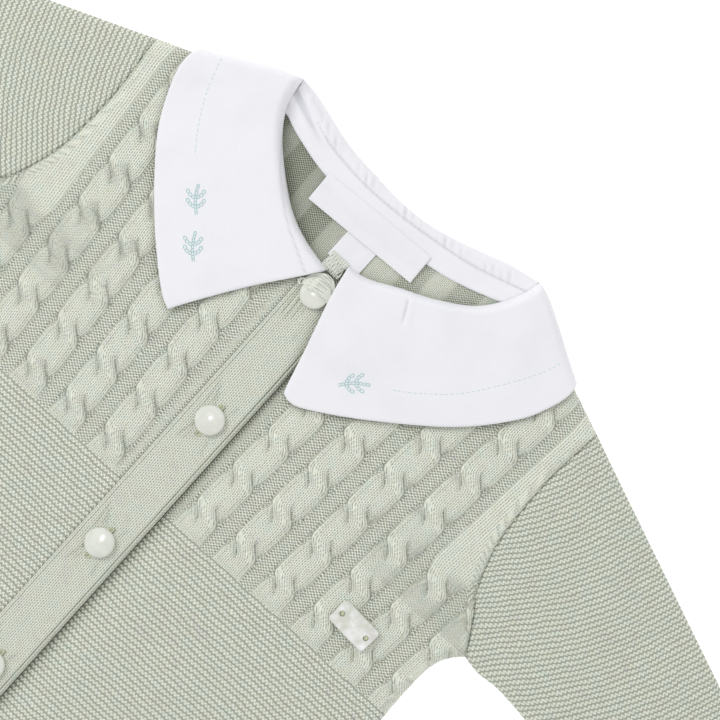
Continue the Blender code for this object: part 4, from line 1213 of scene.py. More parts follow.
def make_sleeve(name, side, yarn, materials):
    """A flattened tube: its upper layer from the top fold down, then its lower layer back."""
    width = math.dist(SHOULDER_TIP, UNDERARM)
    insets = np.array(FOLD_INSETS) / width
    share = np.concatenate([insets, np.linspace(*SLEEVE_COLUMNS), 1 - insets[::-1]])
    ring = np.concatenate([SLEEVE_ROWS[0], np.linspace(*SLEEVE_ROWS[1])])
    plan = sleeve_plan(ring, share)
    x, y = side * plan[..., 0], plan[..., 1]
    upper = body_points(x, y, True)
    upper[..., 2] -= seam_sink(ring * SLEEVE_LENGTH)[:, None]
    rows = picks(len(ring), SLEEVE_STEPS[0])
    columns = picks(2 * len(share), SLEEVE_STEPS[1])
    face = np.concatenate([upper, body_points(x, y, False)[:, ::-1]], axis=1)
    lining = np.concatenate([body_points(x, y, True, KNIT),
                             body_points(x, y, False, KNIT)[:, ::-1]], axis=1)
    lining = lining[np.ix_(rows, columns)]
    points, polygons = slab(face, lining, rows, columns, closed=True)
    from_tip = plan - np.array(SHOULDER_TIP)
    p = from_tip @ SLEEVE_DIRECTION
    q = from_tip @ np.array([SLEEVE_DIRECTION[1], -SLEEVE_DIRECTION[0]])
    sway = 0.35 * waver(p, q, 19.0, 3.0 + side) + 0.24 * waver(p, q, 4.5, 5.0)
    t = np.clip(q / SLANT_WIDTH, 0, 1)
    slant = 25.0 * (t ** 3 - t ** 4 / 2) + 0.5 * np.maximum(q - SLANT_WIDTH, 0) - 0.1 * q
    row = ROW_STRETCH * (p + slant * bell(p / SLANT_LENGTH) + sway) / (yarn.ridge / MM)
    ridge = np.stack([q / (yarn.bump / MM), row, 0 * q], axis=-1)
    ridge = np.concatenate([ridge, ridge[:, ::-1]], axis=1)
    # Painted shade in the groove of the armhole's seam.
    seam = seam_shade(p - p[0], q)
    tone = np.zeros(len(points))
    tone[:ridge[..., 0].size] = np.concatenate([seam, seam[:, ::-1]], axis=1).ravel()
    inner = ridge[np.ix_(rows, columns)]
    piece = make_mesh(f"{name}_knit", points, polygons, materials, {
        "ridge": np.vstack([ridge.reshape(-1, 3), inner.reshape(-1, 3)]),
        "tone": packed(tone, 0.0, 0.0)})
    folds, underside = SLEEVE_ALLOWANCES
    declare(name, (2 * width + folds, SLEEVE_LENGTH + underside),
            2 * plan_area(x, y))


# ---------------------------------------------------------------- bands

# Bands: name, left, right, top, foot, and whether it closes the front
BANDS = (
    ("button_band", -FRONT_EDGE, BAND_HALF_WIDTH, 3.5, CROTCH + 0.5, True),
    ("under_band", 0.6 - BAND_HALF_WIDTH, BAND_HALF_WIDTH, 3.0, CROTCH + 10.0, False),
)
BAND_ROWS, BAND_COLUMNS, BAND_STEP = 300, 76, 5
BAND_WALE = 1.41
CREASE_SHADE = 1.8              # how much a trough of the band darkens with its depth
BAND_CONTACT = (0.5, 1.8)       # shade of the collar on the bands, and its reach
BAND_CREASES = (
    (-6.9, -1.0, -5.9, -14.0, 0.35, -0.3),
    (-5.9, -1.5, -5.0, -13.0, 0.35, 0.25),
    (-4.9, -2.0, -4.2, -14.5, 0.35, -0.3),
    (-3.9, -3.0, -3.3, -12.0, 0.35, 0.2),
    (-3.0, -4.0, -2.6, -12.5, 0.3, -0.22),
    (-1.4, -5.5, -1.2, -12.0, 0.3, -0.15),
    (0.4, -7.5, 1.0, -17.0, 1.4, 0.25),
    (5.0, -12.0, 3.6, -40.0, 1.6, 0.2),
)
# The same round each buttonhole, from the middle of its button
GATHERS = (
    (-6.4, 13.0, -5.0, 1.0, 0.35, -0.2),
    (-5.2, 11.0, -3.4, 4.0, 0.35, -0.225),
    (-4.0, 9.0, -2.4, 4.4, 0.3, -0.2),
    (4.2, 9.0, 2.6, 4.2, 0.4, -0.15),
    (-3.6, -4.4, -5.2, -11.0, 0.4, -0.2),
    (-2.2, -5.0, -3.2, -10.0, 0.35, -0.15),
    (3.4, -4.6, 5.0, -11.0, 0.5, -0.15),
)
# Painted shade in the openings of a buttonhole, from the middle of its button: x, y, half width,
# half length
HOLE_ENDS = ((0.5, 5.3, 0.55, 0.9), (-3.6, -4.3, 0.4, 0.8), (-0.9, -5.6, 0.5, 0.5))
HOLE_DEPTH = 0.3
# Grooves along the band: x, half width, depth, strength of the shade, whether it starts lower
BAND_GROOVES = (
    (-7.5, 0.22, 0.25, 0.3, False),
    (7.3, 0.3, 0.6, 0.85, True),
    (8.35, 0.22, 0.5, 0.85, True),
)


def buttoned(x, y):
    """Creases and shade of the button band, with its gathers, holes and grooves."""
    creases, shade = ridges(BAND_CREASES, x, y), np.zeros(np.shape(x))
    for number in range(BUTTONS):
        below = y - FIRST_BUTTON_Y + BUTTON_SPACING * number
        creases = creases + ridges(GATHERS, x, below)
        for east, north, width, length in HOLE_ENDS:
            spot = bell((x - east) / width, (below - north) / length)
            shade = np.maximum(shade, spot)
            creases = creases - HOLE_DEPTH * spot
    shade = np.maximum(shade, np.clip(-CREASE_SHADE * creases, 0, 1.0))
    for centre, half, depth, strength, lower in BAND_GROOVES:
        groove = bell((x - centre) / half) * (ease((-12.0 - y) / 8.0) if lower else 1.0)
        creases = creases - depth * groove
        towards_neck = 0.55 + 0.45 * ease((y + 60.0) / 30.0)
        shade = np.maximum(shade, strength * groove * towards_neck)
    return creases, shade


def make_band(name, left, right, top_y, end_y, closes, yarn, materials):
    """A plain knitted band; the one that closes the front has the buttonholes."""
    x, y = np.meshgrid(np.linspace(left, right, BAND_COLUMNS), np.linspace(top_y, end_y, BAND_ROWS))
    top_at = button_band_top if closes else under_band_top
    z = top_at(x, y)
    # Painted shade: under the collar's front edges, and in the button band's creases, buttonholes
    # and grooves.
    strength, reach = BAND_CONTACT
    shade = strength * beside([collar["front"] for collar in COLLAR_FRONTS.values()], x, y, reach)
    if closes:
        creases, creased = buttoned(x, y)
        z = z + creases
        shade = np.maximum(shade, creased)
    rows, columns = picks(BAND_ROWS, BAND_STEP), picks(BAND_COLUMNS, BAND_STEP)
    ix, iy = x[np.ix_(rows, columns)], y[np.ix_(rows, columns)]
    lining = np.stack([ix, iy, top_at(0 * ix, iy) - KNIT], axis=-1)
    points, polygons = slab(np.stack([x, y, z], axis=-1), lining, rows, columns)
    stitch = stitch_of((points[:, 0] - left) / BAND_WALE, points[:, 1] / (yarn.row / MM))
    tone = np.zeros(len(points))
    tone[:shade.size] = shade.ravel()
    piece = make_mesh(f"{name}_knit", points, polygons, materials, {
        "stitch": stitch, "tone": packed(tone, 0.0, 0.0)})
    width, length = right - left, top_y - end_y
    declare(name, (width, length), width * length)


def button_band_top(x, y):
    """Height of the band's face: rounded at its free edge and drawn in at its sewn one."""
    edge = np.maximum(x - (BAND_HALF_WIDTH - 0.7), 0.0)
    drawn_in = 0.3 * bell((x + FRONT_EDGE) / 0.35)
    return FRONT_TOP_Z + lift(0.0 * x, y) - 0.9 * edge ** 1.6 - drawn_in


def under_band_top(x, y):
    return FRONT_TOP_Z - KNIT - GAP + lift(0.0 * x, y)


# ---------------------------------------------------------------- collar

# Grids of the cotton pieces: columns, rows, and every how many the inside takes
COLLAR_GRID = (128, 74, (4, 4))
BACK_COLLAR_GRID = (120, 34, (2, 3))
STAND_GRID = (200, 46, (3, 4))
LABEL_GRID = (84, 26, (1, 1))
TAB_GRID = (24, 24, (1, 1))
CLOSE_SHARES = np.array([0.0, 0.002, 0.007, 0.014, 0.024])      # close together at both ends
INNER_SHARES = (0.035, 0.965)
EDGE_DROP = 0.38                # how far a cut edge rounds down, and within what distance
EDGE_ROUND = 0.8
FACING_GROOVE = (0.3, 0.45)     # depth and width of the line on the left collar
FACING_SHADE = (0.3, 0.35)      # and the strength and width of its shade
STAND_STITCHES = ((-48.8, 42.6), (-38.0, 39.6), (-28.7, 36.9), (-15.0, 35.2), (-2.5, 35.2),
                  (12.5, 36.5), (27.5, 38.7), (40.0, 42.1), (46.4, 44.0))
STAND_ENDS = (-49.7, 47.4)


def patch(edges, u, v):
    """Points between four edges; u runs along the neck, v from the neck to the outer edge."""
    neck, outer = along(edges["neck"], u)[None], along(edges["outer"], u)[None]
    front, crest = along(edges["front"], v)[:, None], along(edges["crest"], v)[:, None]
    u, v = u[None, :, None], v[:, None, None]
    corners = ((1 - u) * ((1 - v) * edges["neck"][0] + v * edges["outer"][0])
               + u * ((1 - v) * edges["neck"][-1] + v * edges["outer"][-1]))
    return (1 - v) * neck + v * outer + (1 - u) * front + u * crest - corners


def rolled(curves, x, y):
    """Share of height beside rolled edges, and how far the inside is moved in."""
    share = np.ones(np.shape(x))
    shift = np.zeros((2,) + np.shape(x))
    for curve in curves:
        distance, away = nearest(curve, x, y)
        across = 1 - np.minimum(distance / COLLAR_FOLD, 1.0)
        share = share * np.sqrt(1 - across * across)
        shift = shift + away * across
    return share, shift


def rolled_layer(x, y, depth, shift, share, rim, flat, relief=0.0):
    """A layer at some depth below the face, from the height of its rim to its flat height."""
    return np.stack([x + depth * shift[0], y + depth * shift[1],
                     rim + (flat - rim) * share + relief], axis=-1)


def clustered(count):
    """Shares from 0 to 1, closer together at the ends."""
    inner = np.linspace(*INNER_SHARES, count)
    return np.concatenate([CLOSE_SHARES, inner, 1 - CLOSE_SHARES[::-1]])


def free_edge_drop(curves, x, y):
    """How far a cut edge rounds down."""
    distance = np.minimum.reduce([nearest(curve, x, y)[0] for curve in curves])
    return EDGE_DROP * (1 - np.minimum(distance / EDGE_ROUND, 1.0)) ** 2


def neck_rim(x):
    """Height of the fold behind the neck, which changes towards the shoulders."""
    turn = ease((abs(x) - NECK_FOLD_HALF) / (CREST_START - NECK_FOLD_HALF))
    return NECK_FOLD_RIM_Z + (BACK_COLLAR_RIM_Z - NECK_FOLD_RIM_Z) * turn


def lay_cloth(name, node, layers, steps, material, shade=0.0, flat=None):
    """A woven piece from its face and inside; the inside takes every so many points."""
    face, lining = layers
    x, y = face[..., 0], face[..., 1]
    rows, columns = (picks(count, step) for count, step in zip(x.shape, steps))
    points, polygons = slab(face, lining[np.ix_(rows, columns)], rows, columns)
    tone = np.zeros(len(points))
    tone[:x.size] = np.ravel(shade)
    piece = make_mesh(name, points, polygons, [material], {
        "stitch": packed(points[:, 0] * MM, points[:, 1] * MM, 0.0),
        "tone": packed(tone, 0.0, 0.0)})
    declare(node, flat or (np.ptp(x), np.ptp(y)), plan_area(x, y))


def make_collar_front(name, tables, material):
    """A pointed half of the collar, rolled at the neck and at its crest."""
    edges = {key: smooth(rows) for key, rows in tables.items()}
    facing = 1 if name == "collar_right" else -1
    columns, rows, steps = COLLAR_GRID
    plan = patch(edges, clustered(columns), clustered(rows))
    x, y = plan[..., 0], plan[..., 1]
    share, shift = rolled((edges["neck"][::facing], edges["crest"][::facing]), x, y)
    creases, line = ridges(COLLAR_CREASES, x, y) * share, 0.0
    if facing < 0:
        from_line, _ = nearest(smooth(FACING_LINE), x, y)
        creases = creases - FACING_GROOVE[0] * bell(from_line / FACING_GROOVE[1]) * share
        line = FACING_SHADE[0] * bell(from_line / FACING_SHADE[1])
    drop = free_edge_drop((edges["outer"], edges["front"]), x, y) * (share > 0.6)
    reliefs = {0.0: creases - drop, WOVEN: 0.5 * np.minimum(creases, 0.2)}
    layers = [rolled_layer(x, y, depth, shift, share, COLLAR_RIM_Z,
                           COLLAR_Z + lift(x, y) - depth, relief)
              for depth, relief in reliefs.items()]
    below = "front_right_knit" if facing > 0 else "front_left_knit"
    # Painted shade in the collar's creases and along the left collar's facing line.
    lay_cloth(f"{name}_cotton", name, layers, steps, material,
              np.clip(-1.5 * creases - 0.3, 0, 0.5) + line)


def make_collar_back(material):
    """The part of the collar that folds behind the back of the neck."""
    left, right = (smooth(COLLAR_FRONTS[name]["crest"]) for name in ("collar_left", "collar_right"))
    edges = {"neck": smooth(NECK_FOLD), "outer": smooth(COLLAR_BACK_EDGE),
             "front": left, "crest": right}
    columns, rows, steps = BACK_COLLAR_GRID
    plan = patch(edges, clustered(columns), clustered(rows))
    x, y = plan[..., 0], plan[..., 1]
    share, shift = rolled((edges["neck"], left[::-1], right), x, y)
    layers = [rolled_layer(x, y, depth, shift, share, neck_rim(x), depth)
              for depth in (0.0, WOVEN)]
    lay_cloth("collar_back_cotton", "collar_back", layers, steps, material)


def stand_layers(x, v):
    """Both layers of the stand by x and by the share from fold to seam, and its shade."""
    fold = smooth(NECK_FOLD)
    y_fold, y_seam = at(fold, x, 0, 1), at(smooth(STAND_SEAM), x, 0, 1)
    y = y_fold + v * (y_seam - y_fold)
    share, shift = rolled((fold,), x, y)
    above = y - at(smooth(STAND_STITCHES), x, 0, 1)
    groups = (0.5 + 0.5 * np.sin(0.37 * x + 0.8)) * (0.6 + 0.4 * np.sin(0.83 * x))
    pucker = 0.3 * groups * bell((above - 1.8) / 1.6) * np.sin(1.9 * x + 1.4 * y)
    slack = ease((-30.0 - x) / 12.0) * bell((above + 1.0) / 4.0)
    pucker = pucker + 0.38 * slack * np.sin(0.5 * x + 1.3 * y)
    channel = -0.22 * bell(above / 0.5)
    edge = -0.25 * bell((y - y_seam) / 0.4)
    layers = [rolled_layer(x, y, depth, (0.0, shift[1]), share, neck_rim(x) + GAP,
                           STAND_Z + WOVEN - depth, relief)
              for depth, relief in ((0.0, (pucker + channel + edge) * share), (WOVEN, 0.0))]
    # Painted shade in the stand's puckers, along its stitching channel and at its seam.
    return layers, np.clip(-1.6 * (pucker + channel + 0.5 * edge), 0, 0.5)


def make_stand(material):
    """The white band inside the back of the neck."""
    columns, rows, steps = STAND_GRID
    v = clustered(rows)
    x = np.repeat(np.linspace(*STAND_ENDS, columns)[None], len(v), axis=0)
    layers, shade = stand_layers(x, v[:, None])
    lay_cloth("collar_stand_cotton", "collar_stand", layers, steps, material,
              shade)


# ---------------------------------------------------------------- labels

def make_neck_label(material):
    """The blank label: wavy at its free edge, and higher where it lies on the stand."""
    columns, rows, steps = LABEL_GRID
    across, up = np.meshgrid(np.linspace(-0.5, 0.5, columns), np.linspace(0.5, -0.5, rows))
    width, height = LABEL_SIZE
    run, off = width * across, height * up
    x = LABEL_CENTRE[0] + run * math.cos(LABEL_TURN) - off * math.sin(LABEL_TURN)
    y = LABEL_CENTRE[1] + run * math.sin(LABEL_TURN) + off * math.cos(LABEL_TURN)
    on_stand = ease((y - at(smooth(STAND_SEAM), x, 0, 1) + 4.5) / 4.0)
    base = LABEL_LOW_Z + (LABEL_RAISED_Z - LABEL_LOW_Z) * on_stand
    wave = 0.14 * np.sin(run / 6.5 + 0.6) * (0.5 - up)
    from_edge = np.minimum(width / 2 - abs(run), height / 2 - abs(off))
    top = base + LABEL + wave - 0.16 * bell(from_edge / 0.3)
    layers = [np.stack([x, y, z], axis=-1) for z in (top, base + 0.5 * wave)]
    lay_cloth("neck_label_cloth", "neck_label", layers, steps, material,
              flat=LABEL_SIZE)


def make_size_tab(material):
    """The small blank tab, which curls up at its foot."""
    columns, rows, steps = TAB_GRID
    bottom = SIZE_TAB["bottom"]
    x, y = np.meshgrid(np.linspace(SIZE_TAB["left"], SIZE_TAB["right"], columns),
                       np.linspace(SIZE_TAB["top"], bottom, rows))
    curl = 0.5 * ease((bottom + 4.0 - y) / 4.0) + 0.08 * np.sin(x)
    layers = [np.stack([x, y, STAND_Z + thick + curl], axis=-1) for thick in (LABEL, 0.0)]
    lay_cloth("size_tab_cloth", "size_tab", layers, steps, material)


# ---------------------------------------------------------------- stitching

RUNNING_LINES = (
    ((69.0, 34.0), (67.0, 28.5), (61.4, 19.0), (52.6, 6.7), (42.8, -2.2), (35.2, -7.5)),
    ((-72.9, 34.1), (-69.5, 23.7), (-63.9, 13.2), (-58.0, 5.0)),
)
RUNNING_RADIUS = 0.075
STAND_DASH = (0.75, 0.8, 0.13)      # length, gap and radius of the stitches on the stand
CHAIN_LOOP = 1.1                    # length of a chain stitch and radius of its thread
CHAIN_RADIUS = 0.14
# Sprigs of embroidery: foot of the stem, its direction in degrees, length
SPRIGS = (
    (22.0, -17.5, 42.0, 10.0),
    (-37.0, -19.0, 128.0, 9.5),
    (-46.0, -7.5, 128.0, 9.5),
)
LEAF_PLACES = (0.28, 0.58)


def collar_z(x, y):
    return COLLAR_Z + lift(x, y) + ridges(COLLAR_CREASES, x, y)


def stand_z(x, y):
    fold, seam = at(smooth(NECK_FOLD), x, 0, 1), at(smooth(STAND_SEAM), x, 0, 1)
    layers, _ = stand_layers(x, (fold - y) / (fold - seam))
    return layers[0][..., 2]


def dashes(line, dash, space, radius, height_at):
    """Short raised stitches along a line on the cloth."""
    curve = smooth(line)
    total = run_of(curve)[-1]
    share = np.linspace(0, 1, 6)
    stitches = []
    for number in range(int(total / (dash + space))):
        start = number * (dash + space) + 0.1 * math.sin(2.7 * number)
        places = along(curve, (start + dash * share) / total)
        arch = np.sin(np.pi * share) * 0.7 * radius
        z = height_at(places[:, 0], places[:, 1]) - 0.3 * radius + arch
        stitches.append(thread(np.column_stack([places, z]), radius))
    return stitches


def chain(line):
    """Chain stitch: small overlapping loops along a line on the collar."""
    curve = smooth(line)
    count = max(round(run_of(curve)[-1] / CHAIN_LOOP), 1)
    turns = np.linspace(0.12, 0.88, 8) * 2 * np.pi
    loops = []
    for number in range(count):
        ends = along(curve, np.array([number, number + 1]) / count)
        forward = (ends[1] - ends[0]) * 1.15
        side = np.array([-forward[1], forward[0]]) * 0.34
        oval = (ends[0] + np.outer(0.5 * (1 - np.cos(turns)), forward)
                + np.outer(np.sin(turns), side))
        z = collar_z(oval[:, 0], oval[:, 1]) + 0.35 * CHAIN_RADIUS
        loops.append(thread(np.column_stack([oval, z]), CHAIN_RADIUS))
    return loops


def sprig(x, y, heading, length):
    """Lines of a bowed stem and of its pairs of leaves."""
    turn = math.radians(heading)
    forward = np.array([math.cos(turn), math.sin(turn)])
    side = np.array([-forward[1], forward[0]])

    def stem(t):
        return (x, y) + forward * length * t + side * 0.7 * math.sin(3.1 * t)

    lines = [[stem(t) for t in (0, 0.35, 0.7, 1)]]
    for root in map(stem, LEAF_PLACES):
        for way in (-1, 1):
            lines.append([root, root + forward * 0.6 + side * way * 1.7,
                          root + forward * 2.3 + side * way * 2.7])
    return [tuple(map(tuple, line)) for line in lines]


def make_embroidery(cotton, aqua_thread, white_thread):
    stitches = []
    for line in RUNNING_LINES:
        stitches += dashes(line, cotton.dash / MM, cotton.space / MM, RUNNING_RADIUS, collar_z)
    for row in SPRIGS:
        for line in sprig(*row):
            stitches += chain(line)
    sew("collar_embroidery", stitches, aqua_thread)
    sew("stand_stitching", dashes(STAND_STITCHES[1:], *STAND_DASH, stand_z), white_thread)


# ---------------------------------------------------------------- buttons and trimmings

BUTTON_PROFILE = ((0.82, 0.0), (0.97, 0.45), (1.0, 0.95), (0.97, 1.4), (0.9, 1.72), (0.74, 2.0),
                  (0.5, 2.24), (0.25, 2.42), (0.05, 2.49))
BUTTON_HEIGHT = 2.5
BUTTON_SIDES = 72
BUTTON_X = -0.3                 # middle of the lower buttons and of the buttonholes
HOLE_HALF = 6.2                 # half the length of a buttonhole
CORD_OFFSET = 0.55
CORD_RADIUS = 0.26
BAR_RADIUS = 0.14
BAR_OUT = (0.15, 0.9)           # how far a short stitch reaches out, and its height on the way
BAR_HEIGHTS = np.array([0.2, 0.36, 0.28, 0.02])
FINE_SIDES = 5                  # of the finest threads
COIL_RADIUS = 0.17              # radii of threads: in the tab's holes and in the neck loop
STRAND_RADIUS = 0.19
KNOT_RADIUS = 0.2
END_RADIUS = 0.22
LOOP_STRANDS = 32
LOOP_KNOT = (-8.0, -0.7)
LOOP_END = (-7.0, -0.7, 13.2, 6.9)      # yarn end below the size tab: left, right, top, foot
END_STRANDS = 42


def button_heights():
    """Heights along the band of the middles of the lower buttons."""
    return [FIRST_BUTTON_Y - BUTTON_SPACING * number for number in range(BUTTONS)]


def make_button(name, x, y, radius, material):
    """A domed button, turned round the middle of its profile."""
    base = FRONT_TOP_Z + float(lift(np.array(x), np.array(y))) + GAP
    profile = smooth(BUTTON_PROFILE, 3)
    angles = 2 * np.pi * np.arange(BUTTON_SIDES) / BUTTON_SIDES
    rings = np.stack([x + radius * profile[:, :1] * np.cos(angles),
                      y + radius * profile[:, :1] * np.sin(angles),
                      base + profile[:, 1:] + 0 * angles], axis=-1)
    points = np.vstack([rings.reshape(-1, 3), [[x, y, base], [x, y, base + BUTTON_HEIGHT]]])
    k = numbers(len(profile), BUTTON_SIDES, closed=True)
    ends = caps(k, len(points) - 2, len(points) - 1)
    piece = make_mesh(f"{name}_pearl", points, (quads_of(k), ends), [material], sharp=SHARP_SMALL)
    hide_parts(name)


def make_buttonholes(material):
    """Cords of thread at both sides of each buttonhole, crossed by short stitches."""
    threads = []
    for y in button_heights():
        for side in (-CORD_OFFSET, CORD_OFFSET):
            run = np.linspace(y - HOLE_HALF, y + HOLE_HALF, 30)
            cord = np.column_stack([BUTTON_X + side + 0.08 * np.sin(run * 3.0), run,
                                    np.full(30, FRONT_TOP_Z + 0.1)])
            threads.append(thread(cord, CORD_RADIUS))
            out = np.linspace(*BAR_OUT, 4) * np.sign(side)
            for step in run[::2]:
                bar = np.column_stack([BUTTON_X + out, step + 0.2 * out,
                                       FRONT_TOP_Z + BAR_HEIGHTS])
                threads.append(thread(bar, BAR_RADIUS))
    sew("buttonhole_threads", threads, material)


def make_tab_threads(material):
    """Coils of thread in the two holes of the pearl tab."""
    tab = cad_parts["pearl_tab"]
    top = max((tab.matrix_world @ Vector(corner)).z for corner in tab.bound_box) / MM
    turns = np.linspace(0, 5 * np.pi, 40)
    reach = 0.1 + 0.55 * turns / turns[-1]
    coils = []
    for side in (-0.5, 0.5):
        x = TAB_CENTRE[0] + side * TAB_HOLE_SPACING * math.cos(TAB_TURN)
        y = TAB_CENTRE[1] + side * TAB_HOLE_SPACING * math.sin(TAB_TURN)
        coil = np.column_stack([x + reach * np.cos(turns), y + reach * np.sin(turns),
                                top - 0.5 + 0.1 * np.sin(turns)])
        coils.append(thread(coil, COIL_RADIUS, FINE_SIDES))
    sew("tab_threads", coils, material)


def loop_strand(number):
    """A fine strand that fans out from the knot and goes over the top button."""
    t = number / (LOOP_STRANDS - 1)
    drift = 0.25 * math.sin(2.4 * number)
    rows = ((LOOP_KNOT[0], LOOP_KNOT[1] + 0.6 * t), (-6.9, -0.9 + 4.4 * t + drift),
            (-4.6, -1.1 + 6.6 * t), (-1.9, -0.7 + 6.6 * t - drift),
            (0.6, -0.1 + 5.1 * t), (2.4, -0.5 + 3.1 * t), (3.4, -1.2 + 2.0 * t))
    x, y = smooth(rows, 6).T
    off = np.hypot(x - NECK_BUTTON[0], y - NECK_BUTTON[1]) / NECK_BUTTON[2]
    over = 2.45 * np.sqrt(np.clip(1.35 - off * off, 0.0, 1.0))
    z = FRONT_TOP_Z + lift(x, y) + 0.55 + over + 0.1 * np.sin(number * 1.7 + x)
    return thread(np.column_stack([x, y, z]), STRAND_RADIUS, FINE_SIDES)


def loop_knot():
    """The tangle of yarn that holds the strands together."""
    turns = np.linspace(0, 6.4 * np.pi, 90)
    return thread(np.column_stack([
        LOOP_KNOT[0] + 0.9 * np.cos(turns) + 0.3 * np.cos(2.3 * turns),
        LOOP_KNOT[1] + 0.9 * np.sin(turns) + 0.3 * np.sin(1.7 * turns),
        FRONT_TOP_Z + 2.0 + 0.5 * np.sin(0.8 * turns)]), KNOT_RADIUS)


def loop_end(number):
    """A strand of the loop's end, below the size tab."""
    left, right, top, foot = LOOP_END
    start = left + number / (END_STRANDS - 1) * (right - left)
    lean = 0.6 * math.sin(1.9 * number)
    y = np.linspace(top + 0.3 * lean, foot + 0.2 * lean, 12)
    x = start + 0.12 * lean * (top - y) + 0.2 * np.sin(1.3 * y + number)
    z = STAND_Z + LABEL + 0.85 + 0.15 * np.cos(2.1 * number) + 0 * y
    return thread(np.column_stack([x, y, z]), END_RADIUS, FINE_SIDES)


def make_loop(material):
    """The neck loop: its strands, their knot and its end below the size tab."""
    strands = [loop_strand(number) for number in range(LOOP_STRANDS)]
    ends = [loop_end(number) for number in range(END_STRANDS)]
    sew("neck_loop_yarn", strands + [loop_knot()] + ends, material, "neck_loop")


# ---------------------------------------------------------------- stage

CAMERA_AT = (0.02198, 0.194495)
CAMERA_TURN = math.radians(42.0)
TOP_HEIGHT = 0.008
FLOOR_DROP = 0.0003
FLOOR_HALF = 12.0
FLOOR_GLOW = 0.45
# Area lights: direction in the picture (right, up, towards the camera), size in metres, setting
LIGHTS = (
    ("key_light", (-0.62, 0.62, 0.95), 0.55, "key"),
    ("fill_light", (0.9, -0.5, 0.8), 0.9, "fill"),
    ("spark_light", (-0.06, 0.1, 1.0), 0.15, "spark"),
)


def placed(name, data):
    """A new object in the scene."""
    made = bpy.data.objects.new(name, data)
    bpy.context.scene.collection.objects.link(made)
    return made


def make_camera(width):
    camera = bpy.data.cameras.new("camera")
    camera.lens = 100.0
    camera.sensor_width = 36.0
    camera.clip_start = 0.01
    eye = placed("camera", camera)
    distance = width * camera.lens / camera.sensor_width
    eye.location = (*CAMERA_AT, TOP_HEIGHT + distance)
    eye.rotation_euler = (0.0, 0.0, CAMERA_TURN)
    bpy.context.scene.camera = eye


def make_light(name, direction, size, power):
    right = np.array([math.cos(CAMERA_TURN), math.sin(CAMERA_TURN), 0.0])
    up = np.array([-math.sin(CAMERA_TURN), math.cos(CAMERA_TURN), 0.0])
    way = direction[0] * right + direction[1] * up + direction[2] * np.array([0, 0, 1.0])
    data = bpy.data.lights.new(name, "AREA")
    data.shape = "SQUARE"
    data.size = size
    data.energy = power
    lamp = placed(name, data)
    lamp.visible_glossy = name == "spark_light"
    lamp.location = (CAMERA_AT[0] + way[0], CAMERA_AT[1] + way[1], way[2])
    lamp.rotation_euler = Vector(tuple(way)).to_track_quat("Z", "Y").to_euler()


def make_floor(tint):
    surface = Surface("floor_paint", Roughness=0.9, Base_Color=opaque(tint),
                      Emission_Color=opaque(tint), Emission_Strength=FLOOR_GLOW)
    far = FLOOR_HALF
    mesh = bpy.data.meshes.new("floor")
    mesh.from_pydata([(-far, -far, 0), (far, -far, 0), (far, far, 0), (-far, far, 0)], [],
                     [(0, 1, 2, 3)])
    mesh.materials.append(surface.material)
    floor = placed("floor", mesh)
    floor.location.z = -FLOOR_DROP


# ---------------------------------------------------------------- operators

def knits(yarn, *names):
    """Materials of the knit, in the order of their names."""
    return [knit_surface(name, yarn) for name in names]


class MakeBody(bpy.types.Operator):
    """Knit the two cabled fronts and the back"""

    bl_idname = "jumpsuit.body"
    bl_label = "Fronts and back"

    def execute(self, context):
        yarn = context.scene.jumpsuit_yarn
        cabled, back_cabled, garter, inside = knits(
            yarn, "cabled_knit", "back_cabled_knit", "garter_knit", "inside_knit")
        make_back(yarn, [back_cabled, garter, inside])
        for name, side, dips in (("front_left", -1, 0.0), ("front_right", 1, KNIT + GAP)):
            make_front(name, side, dips, yarn, [cabled, garter, inside])
        return {"FINISHED"}


class MakeSleeves(bpy.types.Operator):
    """Knit the two sleeves"""

    bl_idname = "jumpsuit.sleeves"
    bl_label = "Sleeves"

    def execute(self, context):
        yarn = context.scene.jumpsuit_yarn
        materials = knits(yarn, "garter_knit")
        for name, side in (("sleeve_left", -1), ("sleeve_right", 1)):
            make_sleeve(name, side, yarn, materials)
        return {"FINISHED"}


class MakeBands(bpy.types.Operator):
    """Knit the button band and the band below it"""

    bl_idname = "jumpsuit.bands"
    bl_label = "Bands"

    def execute(self, context):
        yarn = context.scene.jumpsuit_yarn
        materials = knits(yarn, "plain_knit")
        for band in BANDS:
            make_band(*band, yarn, materials)
        return {"FINISHED"}


class MakeCollar(bpy.types.Operator):
    """Cut the woven collar: two fronts, the back and its stand"""

    bl_idname = "jumpsuit.collar"
    bl_label = "Collar"

    def execute(self, context):
        cotton = context.scene.jumpsuit_cotton
        material = woven_surface("collar_cotton", cotton.white, cotton.shadow, cotton.pitch)
        for name, tables in COLLAR_FRONTS.items():
            make_collar_front(name, tables, material)
        make_collar_back(material)
        make_stand(material)
        return {"FINISHED"}


class MakeStitching(bpy.types.Operator):
    """Sew the running stitches and the sprigs on the collar, and the buttonholes"""

    bl_idname = "jumpsuit.stitching"
    bl_label = "Stitching"

    def execute(self, context):
        cotton = context.scene.jumpsuit_cotton
        # The stand's white thread takes a colour halfway to the cotton's fold shade: painted shade
        # that makes its stitches read as small grey dots.
        between = tuple((a + b) / 2 for a, b in zip(cotton.white, cotton.shadow))
        make_embroidery(cotton, thread_surface("aqua_thread", cotton.thread),
                        thread_surface("white_thread", between))
        make_buttonholes(thread_surface("buttonhole_thread", cotton.buttonhole))
        return {"FINISHED"}


class MakeLabels(bpy.types.Operator):
    """Sew in the blank neck label and the blank tab below it"""

    bl_idname = "jumpsuit.labels"
    bl_label = "Labels"

    def execute(self, context):
        cotton = context.scene.jumpsuit_cotton
        material = woven_surface("label_cloth", cotton.white, cotton.shadow, 0.7 * cotton.pitch)
        make_neck_label(material)
        make_size_tab(material)
        return {"FINISHED"}


